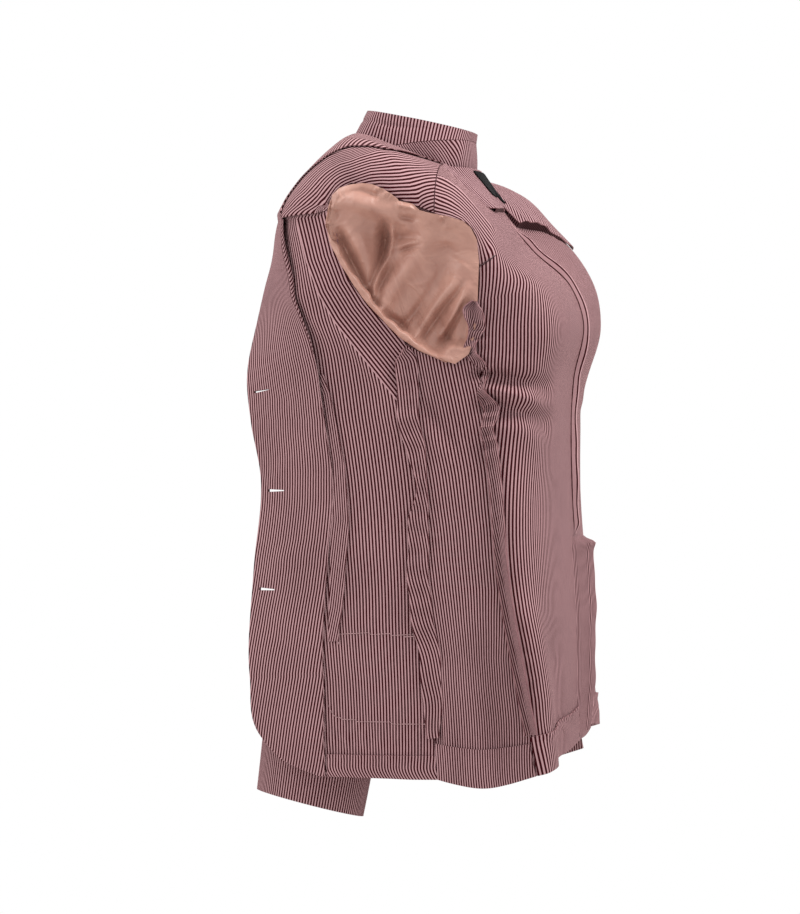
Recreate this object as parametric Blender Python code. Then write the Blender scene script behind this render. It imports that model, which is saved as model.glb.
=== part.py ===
"""Striped blazer put on inside out and back to front, as a hollow worn garment.

Millimetres in the tables, metres in the scene. +Z is up, the wearer faces -Y and the wearer's
right is -X. The origin is the middle of the neck base. Names follow the jacket's own cut, so the
front pieces with the buttonholes hang at the wearer's back.
"""

import math
from collections import namedtuple

import bmesh
import bpy
import numpy as np
from mathutils import Vector

MM = 0.001

SHELL_WALL = 1.4
TRIM_WALL = 1.1
LINING_WALL = 1.0
COLLAR_WALL = 2.0
LABEL_WALL = 1.0
SEAM_GAP = 0.3
LAYER_GAP = 0.5
RIM_GAP = 2.2
NECK_GAP = 2.0
TRIM_OUT = LAYER_GAP + TRIM_WALL

PANEL_SAMPLES = 81
BACK_COLUMNS = 12
FRONT_COLUMNS = 11
FACING_COLUMNS = 4
SIDE_COLUMNS = 5
BACK_ROWS_UP = 9
LOW_ROWS = 12
HEM_ROWS = 3
SLEEVE_COLUMNS = 18
LINING_COLUMNS = 15
LINING_ROWS = 12

NECK_HALF_WIDTH = 68.0
NECK_FRONT = 57.0
NECK_BACK = 76.0
NECK_ROUNDNESS = 2.5
NECK_LOW = -8.0
NECK_RISE = 34.0
COLLAR_REACH = 149.0
STAND_REACH = COLLAR_REACH * 24 / 36
SHOULDER_ANGLE = 61.0
SHOULDER_TIP = (-186, -44, -63)
SHOULDER_ROUNDNESS = 2.0

HEM_DEPTH = 37.0
FACING_HEM_Y = 67.0
FOLD_STEP = 7.0
NECK_FACING_DEPTH = 62.0
NECK_FACING_LEFT = (22.0, 26.0)
NECK_FACING_LIFT = (2.5, 6.0)
NECK_FACING_REACH = 0.50
ALLOWANCE = 12.0
POCKET_TOP = -482.0
POCKET_BOTTOM = -572.0
POCKET_SEAT = 0.6
VENT_TOP = -389.0
VENT_PROUD = 16.0
VENT_SHORT = 12.0
BUTTON_DIAMETER = 20.0
BUTTON_WALL = 3.5
BUTTONHOLE_LENGTH = 20.0
BUTTONHOLE_WIDTH = 2.6
BUTTON_INSET = 9.0

Button = namedtuple("Button", "place z seat")
BUTTONS = [
    Button("top", -240, 1.8),
    Button("waist", -341, 0.2),
    Button("low", -441, 0.7),
]

BackRow = namedtuple("BackRow", "place centre_y centre_z side boxiness breast")
BACK_ROWS = [
    BackRow("upper chest", -84, -48, (-178, -81, -78), 3.6, 0),
    BackRow("chest", -118, -92, (-176, -87, -119), 4.8, 0),
    BackRow("over bust", -158, -130, (-178, -86, -155), 5.4, 0),
    BackRow("bust", -171, -165, (-180, -82, -188), 5.6, 0),
    BackRow("under bust", -161, -225, (-182, -92, -240), 4.2, 0),
    BackRow("waist", -159, -330, (-185, -104, -330), 2.6, 0),
    BackRow("high hip", -164, -420, (-188, -112, -420), 2.6, 0),
    BackRow("hip", -168, -505, (-188, -129, -520), 2.9, 0),
    BackRow("hem", -166, -600, (-182, -148, -624), 3.4, 0),
]

NeckRow = namedtuple("NeckRow", "place side angle belly crown facing")
NECK_ROWS = [
    NeckRow("shoulder seam", SHOULDER_TIP, SHOULDER_ANGLE, 0, 0, 0.16),
    NeckRow("behind the seam", (-184, -19, -53), 80, 1, 0, 0.20),
    NeckRow("shoulder", (-181, 6, -43), 100, 3, 1, 0.46),
    NeckRow("shoulder back", (-177, 27, -37), 124, 5, -2, 0.57),
    NeckRow("collar end", (-173, 45, -32), 148, 8, -5, 0.62),
]
FrontRow = namedtuple("FrontRow", "place side edge belly crown facing")
FRONT_ROWS = [
    FrontRow("lapel notch", (-172, 57, -44), (-38, 80, 16), 9, -3, 0.53),
    FrontRow("fold", (-177, 64, -58), (-78, 134, -60), 22, 0, 0.42),
    FrontRow("armhole", (-184, 47, -122), (-104, 141, -118), 18, 0, 0.49),
    FrontRow("low armhole", (-186, 16, -163), (-122, 148, -165), 18, 0, 0.49),
    FrontRow("underarm", (-186, -15, -195), (-140, 155, -215), 16, 0, 0.48),
    FrontRow("top button", (-188, -21, -270), (-150, 150, -270), 14, 0, 0.51),
    FrontRow("waist", (-190, -33, -330), (-152, 139, -330), 12, 0, 0.48),
    FrontRow("low button", (-192, -28, -410), (-154, 146, -420), 13, 0, 0.49),
    FrontRow("pocket", (-196, -40, -520), (-155, 150, -530), 14, 0, 0.45),
    FrontRow("corner start", (-199, -47, -590), (-158, 138, -590), 12, 0, 0.39),
    FrontRow("corner", (-200, -49, -612), (-166, 112, -614), 8, 0, 0.27),
    FrontRow("hem", (-200, -50, -628), (-180, 75, -628), 4, 0, 0.06),
]
SIDE_SAG = 16.0
SIDE_HEM_SAG = 10.0
SIDE_BELLY = 4.0
LEFT_FULLNESS = (30, 38, 16, 6)

Crease = namedtuple("Crease", "share_a z_a share_b z_b half_width depth")
BACK_CREASES = [
    Crease(1.00, -222, 0.66, -240, 13, -5),
    Crease(1.00, -256, 0.62, -276, 13, -4),
    Crease(0.92, -470, 0.84, -625, 20, 6),
    Crease(0.70, -520, 0.66, -610, 22, -4),
]
FRONT_CREASES = [
    Crease(0.52, -150, 0.93, -268, 15, 5),
    Crease(0.72, -480, 0.80, -628, 24, 4),
]
SIDE_CREASES = [
    Crease(0.10, -300, 0.70, -262, 14, -4),
    Crease(0.22, -500, 0.20, -628, 20, -6),
    Crease(0.62, -540, 0.60, -628, 20, 4),
]

SleeveRow = namedtuple("SleeveRow", "place x y z across deep tilt")
SLEEVE_ROWS = [
    SleeveRow("bicep", -150, -6, -252, 24, 70, 0),
    SleeveRow("elbow", -142, 34, -390, 23, 66, 6),
    SleeveRow("forearm", -130, 72, -530, 22, 60, 10),
    SleeveRow("cuff", -118, 96, -660, 21, 54, 13),
]
LEFT_CUFF_RISE = 44.0
SLEEVE_TURN_IN = 46.0
SLEEVE_TURN_DOWN = 70.0

FABRIC = (0.21, 0.105, 0.115, 1)
FABRIC_TRIM = (0.25, 0.13, 0.14, 1)
SILK = (0.47, 0.27, 0.23, 1)
LABEL_BLACK = (0.012, 0.012, 0.014, 1)
HORN = (0.09, 0.045, 0.04, 1)


def smooth(value):
    value = np.clip(value, 0.0, 1.0)
    return value * value * (3.0 - 2.0 * value)


def unit(vectors):
    return vectors / np.linalg.norm(vectors, axis=-1, keepdims=True)


def resample(points, count):
    points = np.asarray(points, float)
    steps = np.linalg.norm(np.diff(points, axis=0), axis=1)
    length = np.concatenate([[0.0], np.cumsum(steps)])
    wanted = np.linspace(0.0, length[-1], count)
    return np.stack([np.interp(wanted, length, points[:, axis]) for axis in range(3)], axis=1)


def neck_height(y):
    return NECK_LOW + NECK_RISE * np.clip((y + 40.0) / 91.0, 0.0, 1.0) ** 1.1


def neck_point(degrees, out=0.0):
    angle = math.radians(abs(degrees))
    power = 2.0 / NECK_ROUNDNESS
    depth = NECK_FRONT if angle < math.pi / 2 else NECK_BACK
    x = -math.copysign(1.0, degrees) * (NECK_HALF_WIDTH + out) * math.sin(angle) ** power
    y = -math.copysign(1.0, math.cos(angle)) * (depth + out) * abs(math.cos(angle)) ** power
    return np.array([x, y, neck_height(y)])


class Loft:
    """A smooth surface through section rows, measured down from the first row and across from 0 to 1."""

    def __init__(self, rows):
        self.rows = np.array(rows)
        self.samples = self.rows.shape[1]
        gaps = np.linalg.norm(np.diff(self.rows, axis=0), axis=2).mean(axis=1)
        self.knots = np.concatenate([[0.0], np.cumsum(gaps)])
        self.length = self.knots[-1]
        self.slopes = np.gradient(self.rows, self.knots, axis=0)

    def across(self, table, row, share):
        spot = np.clip(share, 0.0, 1.0) * (self.samples - 1)
        low = np.minimum(spot.astype(int), self.samples - 2)
        part = (spot - low)[..., None]
        return table[row, low] * (1.0 - part) + table[row, low + 1] * part

    def base(self, down, share):
        down, share = np.broadcast_arrays(np.asarray(down, float), np.asarray(share, float))
        down = np.clip(down, 0.0, self.length)
        row = np.clip(np.searchsorted(self.knots, down, side="right") - 1, 0, len(self.knots) - 2)
        span = self.knots[row + 1] - self.knots[row]
        t = ((down - self.knots[row]) / span)[..., None]
        start = self.across(self.rows, row, share)
        end = self.across(self.rows, row + 1, share)
        leave = self.across(self.slopes, row, share) * span[..., None]
        arrive = self.across(self.slopes, row + 1, share) * span[..., None]
        return (start * (2 * t**3 - 3 * t**2 + 1) + leave * (t**3 - 2 * t**2 + t)
                + end * (3 * t**2 - 2 * t**3) + arrive * (t**3 - t**2))


class Panel(Loft):
    """Cloth lofted from its top edge to its hem, with creases and a fold step moved along its normals."""

    def __init__(self, rows, creases=(), step_at=None):
        super().__init__([resample(row, PANEL_SAMPLES) for row in rows])
        self.creases = creases
        self.step_at = None if step_at is None else self.knots[step_at]
        self.sign = 1.0
        middle = self.base(self.length * 0.6, 0.5)
        if np.dot(self.normal(self.length * 0.6, 0.5)[:2], middle[:2]) < 0.0:
            self.sign = -1.0

    def normal(self, down, share):
        down, share = np.broadcast_arrays(np.asarray(down, float), np.asarray(share, float))
        high = np.clip(down - 4.0, 0.0, self.length)
        low = np.clip(down + 4.0, 0.0, self.length)
        left = np.clip(share - 0.02, 0.0, 1.0)
        right = np.clip(share + 0.02, 0.0, 1.0)
        along = self.base(low, share) - self.base(high, share)
        across = self.base(down, right) - self.base(down, left)
        return self.sign * unit(np.cross(across, along))

    def relief(self, down, share, stepped=1.0):
        down, share = np.broadcast_arrays(np.asarray(down, float), np.asarray(share, float))
        place = self.base(down, share)
        width = np.linalg.norm(self.base(down, 1.0) - self.base(down, 0.0), axis=-1)
        height = np.zeros(down.shape)
        for crease in self.creases:
            run = np.stack([(crease.share_b - crease.share_a) * width,
                            np.full(width.shape, crease.z_b - crease.z_a)], axis=-1)
            here = np.stack([(share - crease.share_a) * width, place[..., 2] - crease.z_a], axis=-1)
            part = np.clip((run * here).sum(-1) / (run * run).sum(-1), 0.0, 1.0)
            away = np.linalg.norm(here - run * part[..., None], axis=-1)
            height += crease.depth * np.exp(-(away / crease.half_width) ** 2)
        if self.step_at is not None:
            past = down - self.step_at
            inner = 1.0 - 0.9 * smooth((share - 0.80) / 0.20)
            height -= stepped * FOLD_STEP * inner * smooth(past / 5.0) * (1.0 - smooth((past - 12.0) / 75.0))
        return height

    def at(self, down, share, out=0.0, stepped=1.0):
        lift = self.relief(down, share, stepped) + out
        return self.base(down, share) + self.normal(down, share) * lift[..., None]

    def down_at_height(self, z, share):
        trial = np.linspace(0.0, self.length, 400)
        heights = self.base(trial, share)[:, 2]
        first = int(np.argmax(heights < heights[0] - 0.5))
        order = slice(max(first - 1, 0), None)
        return np.interp(-np.asarray(z, float), -heights[order], trial[order])

    def share_at_depth(self, downs, y):
        trial = np.linspace(0.0, 1.0, 200)
        return np.array([np.interp(-y, -self.base(np.full(200, down), trial)[:, 1], trial)
                         for down in np.atleast_1d(downs)])

    def width(self, down):
        row = self.base(np.full(40, down), np.linspace(0.0, 1.0, 40))
        return np.linalg.norm(np.diff(row, axis=0), axis=1).sum()


def back_row(row):
    angle = np.linspace(0.0, math.pi / 2, 121)
    power = 2.0 / row.boxiness
    side_x, side_y, side_z = row.side
    x = side_x * np.sin(angle) ** power
    y = side_y + (row.centre_y - side_y) * np.abs(np.cos(angle)) ** power
    y = y - row.breast * np.sin(np.pi * x / side_x) ** 2
    length = np.concatenate([[0.0], np.cumsum(np.hypot(np.diff(x), np.diff(y)))])
    z = row.centre_z + (side_z - row.centre_z) * (length / length[-1]) ** 2
    return np.stack([x, y, z], axis=1)


def bowed_row(edge, side, belly, crown, roundness=None):
    """Section from the edge to the side, straight and bowed, or level and then rounded down at the side."""
    edge, side = np.array(edge, float), np.array(side, float)
    part = np.linspace(0.0, 1.0, 81)[:, None]
    drop = part
    if roundness:
        angle = part * math.pi / 2
        part = np.sin(angle) ** (2.0 / roundness)
        drop = 1.0 - np.abs(np.cos(angle)) ** (2.0 / roundness)
    chord = side - edge
    outward = unit(np.array([chord[1], -chord[0], 0.0]))
    if np.dot(outward[:2], (edge + side)[:2]) < 0.0:
        outward = -outward
    bow = 4.0 * part * (1.0 - part)
    fall = np.concatenate([part, part, drop], axis=1)
    return edge + chord * fall + bow * (outward * belly + np.array([0.0, 0.0, crown]))


def make_back(fullness=()):
    rows = [back_row(row) for row in BACK_ROWS]
    for row, extra in zip(rows, fullness):
        row[:, 1] -= extra * np.sin(np.pi * row[:, 0] / row[-1, 0]) ** 2
    neckline = [neck_point(angle, NECK_GAP) for angle in np.linspace(0.0, SHOULDER_ANGLE, 24)]
    seam = bowed_row(neck_point(SHOULDER_ANGLE, NECK_GAP), SHOULDER_TIP, 0, NECK_ROWS[0].crown, SHOULDER_ROUNDNESS)
    return Panel([neckline + list(seam[1:])] + rows, BACK_CREASES)


def make_front():
    rows = [bowed_row(neck_point(row.angle, NECK_GAP), row.side, row.belly, row.crown, SHOULDER_ROUNDNESS)
            for row in NECK_ROWS]
    notch = FRONT_ROWS[0]
    rows.append(bowed_row(notch.edge, notch.side, notch.belly, notch.crown, SHOULDER_ROUNDNESS))
    rows += [bowed_row(row.edge, row.side, row.belly, row.crown) for row in FRONT_ROWS[1:]]
    return Panel(rows, FRONT_CREASES, step_at=len(NECK_ROWS) + 1)


class SidePanel(Panel):
    """The panel between the two side seams, sagging at the underarm."""

    def __init__(self, back, front, back_downs, front_downs):
        rows = []
        for back_down, front_down in zip(back_downs, front_downs):
            start = back.at(back_down, 1.0)
            end = front.at(front_down, 1.0)
            rows.append(bowed_row(start, end, SIDE_BELLY, 0))
        drop = np.linspace(0.0, 1.0, len(rows))
        for share, row in zip(drop, rows):
            part = np.linspace(0.0, 1.0, len(row))
            row[:, 2] -= SIDE_SAG * np.sin(np.pi * part ** 0.8) * (1.0 - smooth(share / 0.35))
            row[:, 2] -= SIDE_HEM_SAG * np.sin(np.pi * part) * smooth((share - 0.6) / 0.3)
        super().__init__(rows, SIDE_CREASES)


def fabric(name, colour, roughness):
    material = bpy.data.materials.new(name)
    material.use_nodes = True
    shader = material.node_tree.nodes["Principled BSDF"]
    shader.inputs["Base Color"].default_value = colour
    shader.inputs["Roughness"].default_value = roughness
    material.diffuse_color = colour
    return material


def apply_modifiers(obj):
    bpy.context.view_layer.objects.active = obj
    for modifier in list(obj.modifiers):
        bpy.ops.object.modifier_apply(modifier=modifier.name)


def put(name, points, mesh, material, root):
    centre = np.round(points.reshape(-1, 3).mean(axis=0), 1)
    for vertex in mesh.vertices:
        vertex.co = [(vertex.co[axis] - centre[axis]) * MM for axis in range(3)]
    mesh.materials.append(material)
    obj = bpy.data.objects.new(name, mesh)
    bpy.context.scene.collection.objects.link(obj)
    obj.location = [value * MM for value in centre]
    obj.parent = root
    return obj


def cloth(name, grid, thickness, material, root, outward, closed=False):
    """A cloth wall whose outer face is the grid, thickened inwards."""
    rows, columns = grid.shape[:2]
    sheet = bmesh.new()
    bmesh.ops.create_grid(sheet, x_segments=columns - 1, y_segments=rows - 1, size=1.0)
    sheet.verts.ensure_lookup_table()
    for vertex, point in zip(sheet.verts, grid.reshape(-1, 3)):
        vertex.co = point
    if closed:
        bmesh.ops.remove_doubles(sheet, verts=sheet.verts, dist=0.01)
    sheet.faces.ensure_lookup_table()
    sheet.normal_update()
    middle = min(sheet.faces, key=lambda face: (face.calc_center_median() - outward[0]).length)
    if middle.normal.dot(outward[1]) < 0.0:
        bmesh.ops.reverse_faces(sheet, faces=sheet.faces)
    mesh = bpy.data.meshes.new(name)
    sheet.to_mesh(mesh)
    sheet.free()
    obj = put(name, grid, mesh, material, root)
    wall = obj.modifiers.new("wall", "SOLIDIFY")
    wall.thickness = thickness * MM
    wall.offset = -1.0
    wall.use_even_offset = False
    apply_modifiers(obj)
    return obj


def outward_of(panel, down, share):
    return Vector(panel.at(down, share)), Vector(panel.normal(down, share))


def mirrored(grid, outward):
    flip = np.array([-1.0, 1.0, 1.0])
    turned = tuple(Vector((-value.x, value.y, value.z)) for value in outward)
    return grid * flip, turned


def pair(name, grid, thickness, material, root, outward, closed=False):
    right = cloth(name + "_right", grid, thickness, material, root, outward, closed)
    flipped, turned = mirrored(grid, outward)
    left = cloth(name + "_left", flipped, thickness, material, root, turned, closed)
    return right, left


def shares(panel, downs, low, high, count):
    """Column shares for each row, with half a seam gap kept at both ends."""
    part = np.linspace(0.0, 1.0, count + 1)
    low = np.broadcast_to(np.asarray(low, float), (len(downs),))
    high = np.broadcast_to(np.asarray(high, float), (len(downs),))
    inset = np.array([0.5 * SEAM_GAP / panel.width(down) for down in downs])
    return (low + inset)[:, None] + ((high - low) - 2.0 * inset)[:, None] * part


def left_downs(right, left, downs):
    """The same rows on the fuller left back, whose path down is a little longer."""
    return np.interp(downs, right.knots, left.knots)


def seam_shelf(panel, share, downs, toward, width, lift, clear):
    """A strip of seam allowance rooted on a seam and leaning over the next panel."""
    rows = []
    for down in downs:
        root = panel.at(down, share)
        normal = panel.normal(down, share)
        along = unit(panel.base(min(down + 5.0, panel.length), share) - panel.base(max(down - 5.0, 0.0), share))
        lean = unit(np.cross(along, normal)) * toward
        wave = 1.0 + 0.25 * math.sin(down / 23.0)
        rows.append([root + normal * (TRIM_OUT + clear) - lean * 1.5,
                     root + normal * (TRIM_OUT + clear + 0.45 * lift * wave) + lean * width * 0.5,
                     root + normal * (TRIM_OUT + clear + lift * wave) + lean * width])
    return np.array(rows)


def sleeve_ring(row, angles):
    x = row.x + row.across * np.cos(angles)
    y = row.y + row.deep * np.sin(angles)
    z = row.z + row.tilt * np.sin(angles)
    return np.stack([x, y, z], axis=1)


def buttonhole_cutter(panel, z):
    """A slot-shaped cutter across the front edge of a panel."""
    down = float(panel.down_at_height(z, 0.1))
    share = (BUTTON_INSET + BUTTONHOLE_LENGTH / 2) / panel.width(down)
    place = panel.at(down, share)
    normal = panel.normal(down, share)
    across = unit(panel.base(down, share + 0.05) - panel.base(down, share - 0.05))
    upward = np.cross(normal, across)
    bpy.ops.mesh.primitive_cube_add(size=1.0)
    cutter = bpy.context.object
    for vertex in cutter.data.vertices:
        corner = vertex.co.copy()
        vertex.co = [(place[axis] + across[axis] * corner.x * BUTTONHOLE_LENGTH
                      + upward[axis] * corner.y * BUTTONHOLE_WIDTH
                      + normal[axis] * corner.z * 16.0) * MM for axis in range(3)]
    if np.dot(np.cross(across, upward), normal) < 0.0:
        cutter.data.flip_normals()
    cutter.hide_render = True
    return cutter


def cut(objects, cutters):
    for obj in objects:
        for cutter in cutters:
            slot = obj.modifiers.new("slot", "BOOLEAN")
            slot.operation = "DIFFERENCE"
            slot.solver = "EXACT"
            slot.object = cutter
        apply_modifiers(obj)
    for cutter in cutters:
        bpy.data.objects.remove(cutter, do_unlink=True)


def main():
    for obj in list(bpy.data.objects):
        bpy.data.objects.remove(obj, do_unlink=True)
    root = bpy.data.objects.new("blazer", None)
    bpy.context.scene.collection.objects.link(root)

    shell = fabric("striped cotton", FABRIC, 0.85)
    trim = fabric("striped cotton, wrong side", FABRIC_TRIM, 0.85)
    silk = fabric("sleeve lining", SILK, 0.45)
    black = fabric("label tape", LABEL_BLACK, 0.7)
    horn = fabric("button", HORN, 0.35)

    back = make_back()
    left_back = make_back(LEFT_FULLNESS)
    front = make_front()
    bust_down = back.knots[4]
    underarm_down = front.knots[len(NECK_ROWS) + 4]
    fold_down = front.knots[len(NECK_ROWS) + 1]

    hem_steps = np.linspace(HEM_DEPTH, 0.0, HEM_ROWS + 1)
    steps = np.linspace(0.0, 1.0, LOW_ROWS - HEM_ROWS, endpoint=False)
    hem_z = FRONT_ROWS[-1].side[2]
    back_top, front_top = BACK_ROWS[3].side[2], FRONT_ROWS[4].side[2]
    back_levels = np.concatenate([back_top + steps * (hem_z + HEM_DEPTH - back_top), hem_z + hem_steps])
    front_levels = np.concatenate([front_top + steps * (hem_z + HEM_DEPTH - front_top), hem_z + hem_steps])
    back_low = back.down_at_height(back_levels, 1.0)
    front_low = front.down_at_height(front_levels, 1.0)
    back_low[0], back_low[-1] = bust_down, back.length
    front_low[0], front_low[-1] = underarm_down, front.length
    side = SidePanel(back, front, back_low, front_low)

    back_downs = np.concatenate([np.linspace(0.6, bust_down, BACK_ROWS_UP, endpoint=False), back_low])
    back_shares = shares(back, back_downs, 0.0, 1.0, BACK_COLUMNS)
    back_grid = back.at(back_downs[:, None], back_shares)
    cloth("back_right", back_grid, SHELL_WALL, shell, root, outward_of(back, back.length * 0.6, 0.5))
    left_grid = left_back.at(left_downs(back, left_back, back_downs)[:, None], back_shares)
    flipped, turned = mirrored(left_grid, outward_of(back, back.length * 0.6, 0.5))
    cloth("back_left", flipped, SHELL_WALL, shell, root, turned)

    upper = np.concatenate([np.linspace(0.6, fold_down - 8.0, 8), fold_down + np.array([0.0, 3.0, 6.0]),
                            np.linspace(fold_down + 24.0, underarm_down, 5, endpoint=False)])
    front_downs = np.concatenate([upper, front_low])
    rows = NECK_ROWS + FRONT_ROWS
    facing_share = np.interp(front_downs, front.knots, [row.facing for row in rows])
    straight = front.share_at_depth(front_downs, FACING_HEM_Y)
    facing_share = np.where(front_downs > front.knots[-4], straight, facing_share)
    facing_shares = shares(front, front_downs, 0.0, facing_share, FACING_COLUMNS)
    bare_shares = shares(front, front_downs, facing_share, 1.0, FRONT_COLUMNS - FACING_COLUMNS)
    front_shares = np.concatenate([facing_shares, bare_shares[:, 1:]], axis=1)
    front_grid = front.at(front_downs[:, None], front_shares)
    front_pair = pair("front", front_grid, SHELL_WALL, shell, root,
                      outward_of(front, front.length * 0.6, 0.5))

    side_downs = side.knots
    side_shares = shares(side, side_downs, 0.0, 1.0, SIDE_COLUMNS)
    side_grid = side.at(side_downs[:, None], side_shares)
    pair("side", side_grid, SHELL_WALL, shell, root, outward_of(side, side.length * 0.6, 0.5))

    part = np.linspace(0.0, 1.0, FACING_COLUMNS + 1)
    loose = smooth((front_downs - fold_down) / 60.0) * (1.0 - smooth((front_downs - fold_down - 150.0) / 160.0))
    lift = TRIM_OUT + 0.5 + 5.0 * loose[:, None] * part ** 2
    facing_grid = front.at(front_downs[:, None], facing_shares, lift, stepped=0.5)
    facing_pair = pair("facing", facing_grid, TRIM_WALL, trim, root,
                       outward_of(front, front.length * 0.6, 0.2))

    cutters = [buttonhole_cutter(front, button.z) for button in BUTTONS]
    cut([front_pair[0], facing_pair[0]], cutters)

    bare_shares[:, 0] += 0.012
    side_shares[:, 0] += 0.02
    turn_ups = [("hem_back", back, back_downs, back_shares), ("hem_side", side, side_downs, side_shares),
                ("hem_front", front, front_downs, bare_shares)]
    for name, panel, downs, columns in turn_ups:
        grid = panel.at(downs[-HEM_ROWS - 1:, None], columns[-HEM_ROWS - 1:], TRIM_OUT)
        pair(name, grid, TRIM_WALL, trim, root, outward_of(panel, panel.length, 0.7))

    seam_end = float(front.down_at_height(front.base(front.length, 1.0)[2] + HEM_DEPTH + 5.0, 1.0))
    seam_downs = np.linspace(front_low[0] + 4.0, seam_end, 20)
    strip = seam_shelf(front, 1.0, seam_downs, 1.0, ALLOWANCE, 2.5, 0.6)
    if strip[5, 2, 1] < strip[5, 0, 1]:
        strip = seam_shelf(front, 1.0, seam_downs, -1.0, ALLOWANCE, 2.5, 0.6)
    pair("allowance_front", strip, TRIM_WALL, trim, root, outward_of(front, front.length * 0.6, 0.99))
    seam_end = float(back.down_at_height(back.base(back.length, 1.0)[2] + HEM_DEPTH + 5.0, 1.0))
    seam_downs = np.linspace(bust_down + 4.0, seam_end, 20)
    strip = seam_shelf(back, 1.0, seam_downs, 1.0, ALLOWANCE, 5.0, 1.7)
    if strip[5, 2, 1] < strip[5, 0, 1]:
        strip = seam_shelf(back, 1.0, seam_downs, -1.0, ALLOWANCE, 5.0, 1.7)
    pair("allowance_back", strip, TRIM_WALL, trim, root, outward_of(back, back.length * 0.6, 0.99))

    build_centre(back, left_back, trim, black, root)
    build_collar(trim, root)
    seam = len(front_low)
    bust = len(back_low)
    edges = [(front, front_downs[:1 - seam], front_shares[:1 - seam, -1]),
             (side, np.zeros(SIDE_COLUMNS + 1), side_shares[0, ::-1]),
             (back, back_downs[-bust::-1], back_shares[-bust::-1, -1])]
    build_sleeves(edges, shell, silk, root)
    build_pockets(front, front_downs, front_shares, front_grid, shell, root)
    build_buttons(front, horn, root)


def centre_strip(back, downs, edge_lift, half_width):
    rows = []
    for down in downs:
        right = back.at(down, 0.0)
        normal = back.normal(down, 0.0)
        normal[0] = 0.0
        normal = unit(normal)
        row = []
        for side in (-1.0, -0.5, 0.0, 0.5, 1.0):
            point = right + normal * (TRIM_OUT + 1.4 + edge_lift * abs(side))
            point[0] = half_width * side
            row.append(point)
        rows.append(row)
    return np.array(rows)


def neck_facing_point(backs, across, part, out=0.0):
    """Neck facing from the right shoulder (across -1) to the left one (across 1), part 0 to 1 down."""
    reach = abs(across)
    left = across > 0.0
    if left:
        depth = (NECK_FACING_DEPTH + 3.0 + NECK_FACING_LEFT[0] * smooth((reach - 0.11) / 0.1)
                 + NECK_FACING_LEFT[1] * smooth((reach - 0.5) / 0.45))
        lift = NECK_FACING_LIFT[1] * smooth(reach / 0.2) * (1.0 - 0.95 * smooth((reach - 0.35) / 0.4)) * part ** 1.6
    else:
        depth = NECK_FACING_DEPTH * (1.0 - reach ** 6) + 3.0
        lift = NECK_FACING_LIFT[0] * smooth(reach / 0.35) * (1.0 - smooth((reach - 0.75) / 0.25)) * part ** 1.6
    point = backs[int(left)].at(0.8 + depth * part, NECK_FACING_REACH * reach, TRIM_OUT + 0.8 + lift + out)
    if left:
        point = point * np.array([-1.0, 1.0, 1.0])
    return point


def build_centre(back, left_back, trim, black, root):
    start = float(back.down_at_height(-62.0, 0.0))
    end = float(back.down_at_height(VENT_TOP, 0.0))
    strip = centre_strip(back, np.linspace(start, end - 2.0, 16), 5.0, 9.0)
    ahead = (Vector(strip[8, 2]), Vector((0.0, -1.0, 0.0)))
    cloth("allowance_centre", strip, TRIM_WALL, trim, root, ahead)

    downs = np.linspace(end, back.length - 0.5, 8)
    part = np.linspace(0.0, 1.0, 4)
    proud = np.linspace(VENT_PROUD, VENT_PROUD * 0.6, 8)
    lift = TRIM_OUT * 2.0 + proud[:, None] * (1.0 - part)
    shorter = VENT_SHORT * np.linspace(0.0, 1.0, 8)[:, None] * (1.0 - part)
    vent = back.at(downs[:, None] - shorter, 0.003 + 0.16 * part[None, :], lift)
    cloth("vent", vent, TRIM_WALL, trim, root, (Vector(vent[4, 1]), Vector((0.0, -1.0, 0.0))))

    spans = np.linspace(-0.97, 0.97, 19)
    facing = np.array([[neck_facing_point((back, left_back), across, part) for across in spans]
                       for part in np.linspace(0.0, 1.0, 5)])
    ahead = (Vector(facing[2, 9]), Vector((0.0, -0.8, 0.6)))
    cloth("neck_facing", facing, TRIM_WALL, trim, root, ahead)
    label = np.array([[neck_facing_point((back, left_back), across, part, LAYER_GAP + LABEL_WALL)
                       for across in spans[6:11]] for part in (0.08, 0.25, 0.50, 0.70)])
    cloth("neck_label", label, LABEL_WALL, black, root, (Vector(label[1, 2]), Vector((0.0, -0.8, 0.6))))


def seam_height(y):
    return 22.0 - 4.0 * np.clip((y + 57.0) / 51.0, 0.0, 1.0) - 3.0 * np.clip((y + 6.0) / 23.0, 0.0, 1.0)


def leaf_top(y):
    return 31.0 + 11.0 * np.clip((y + 58.0) / 50.0, 0.0, 1.0) + 12.0 * np.clip((y + 8.0) / 59.0, 0.0, 1.0)


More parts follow.
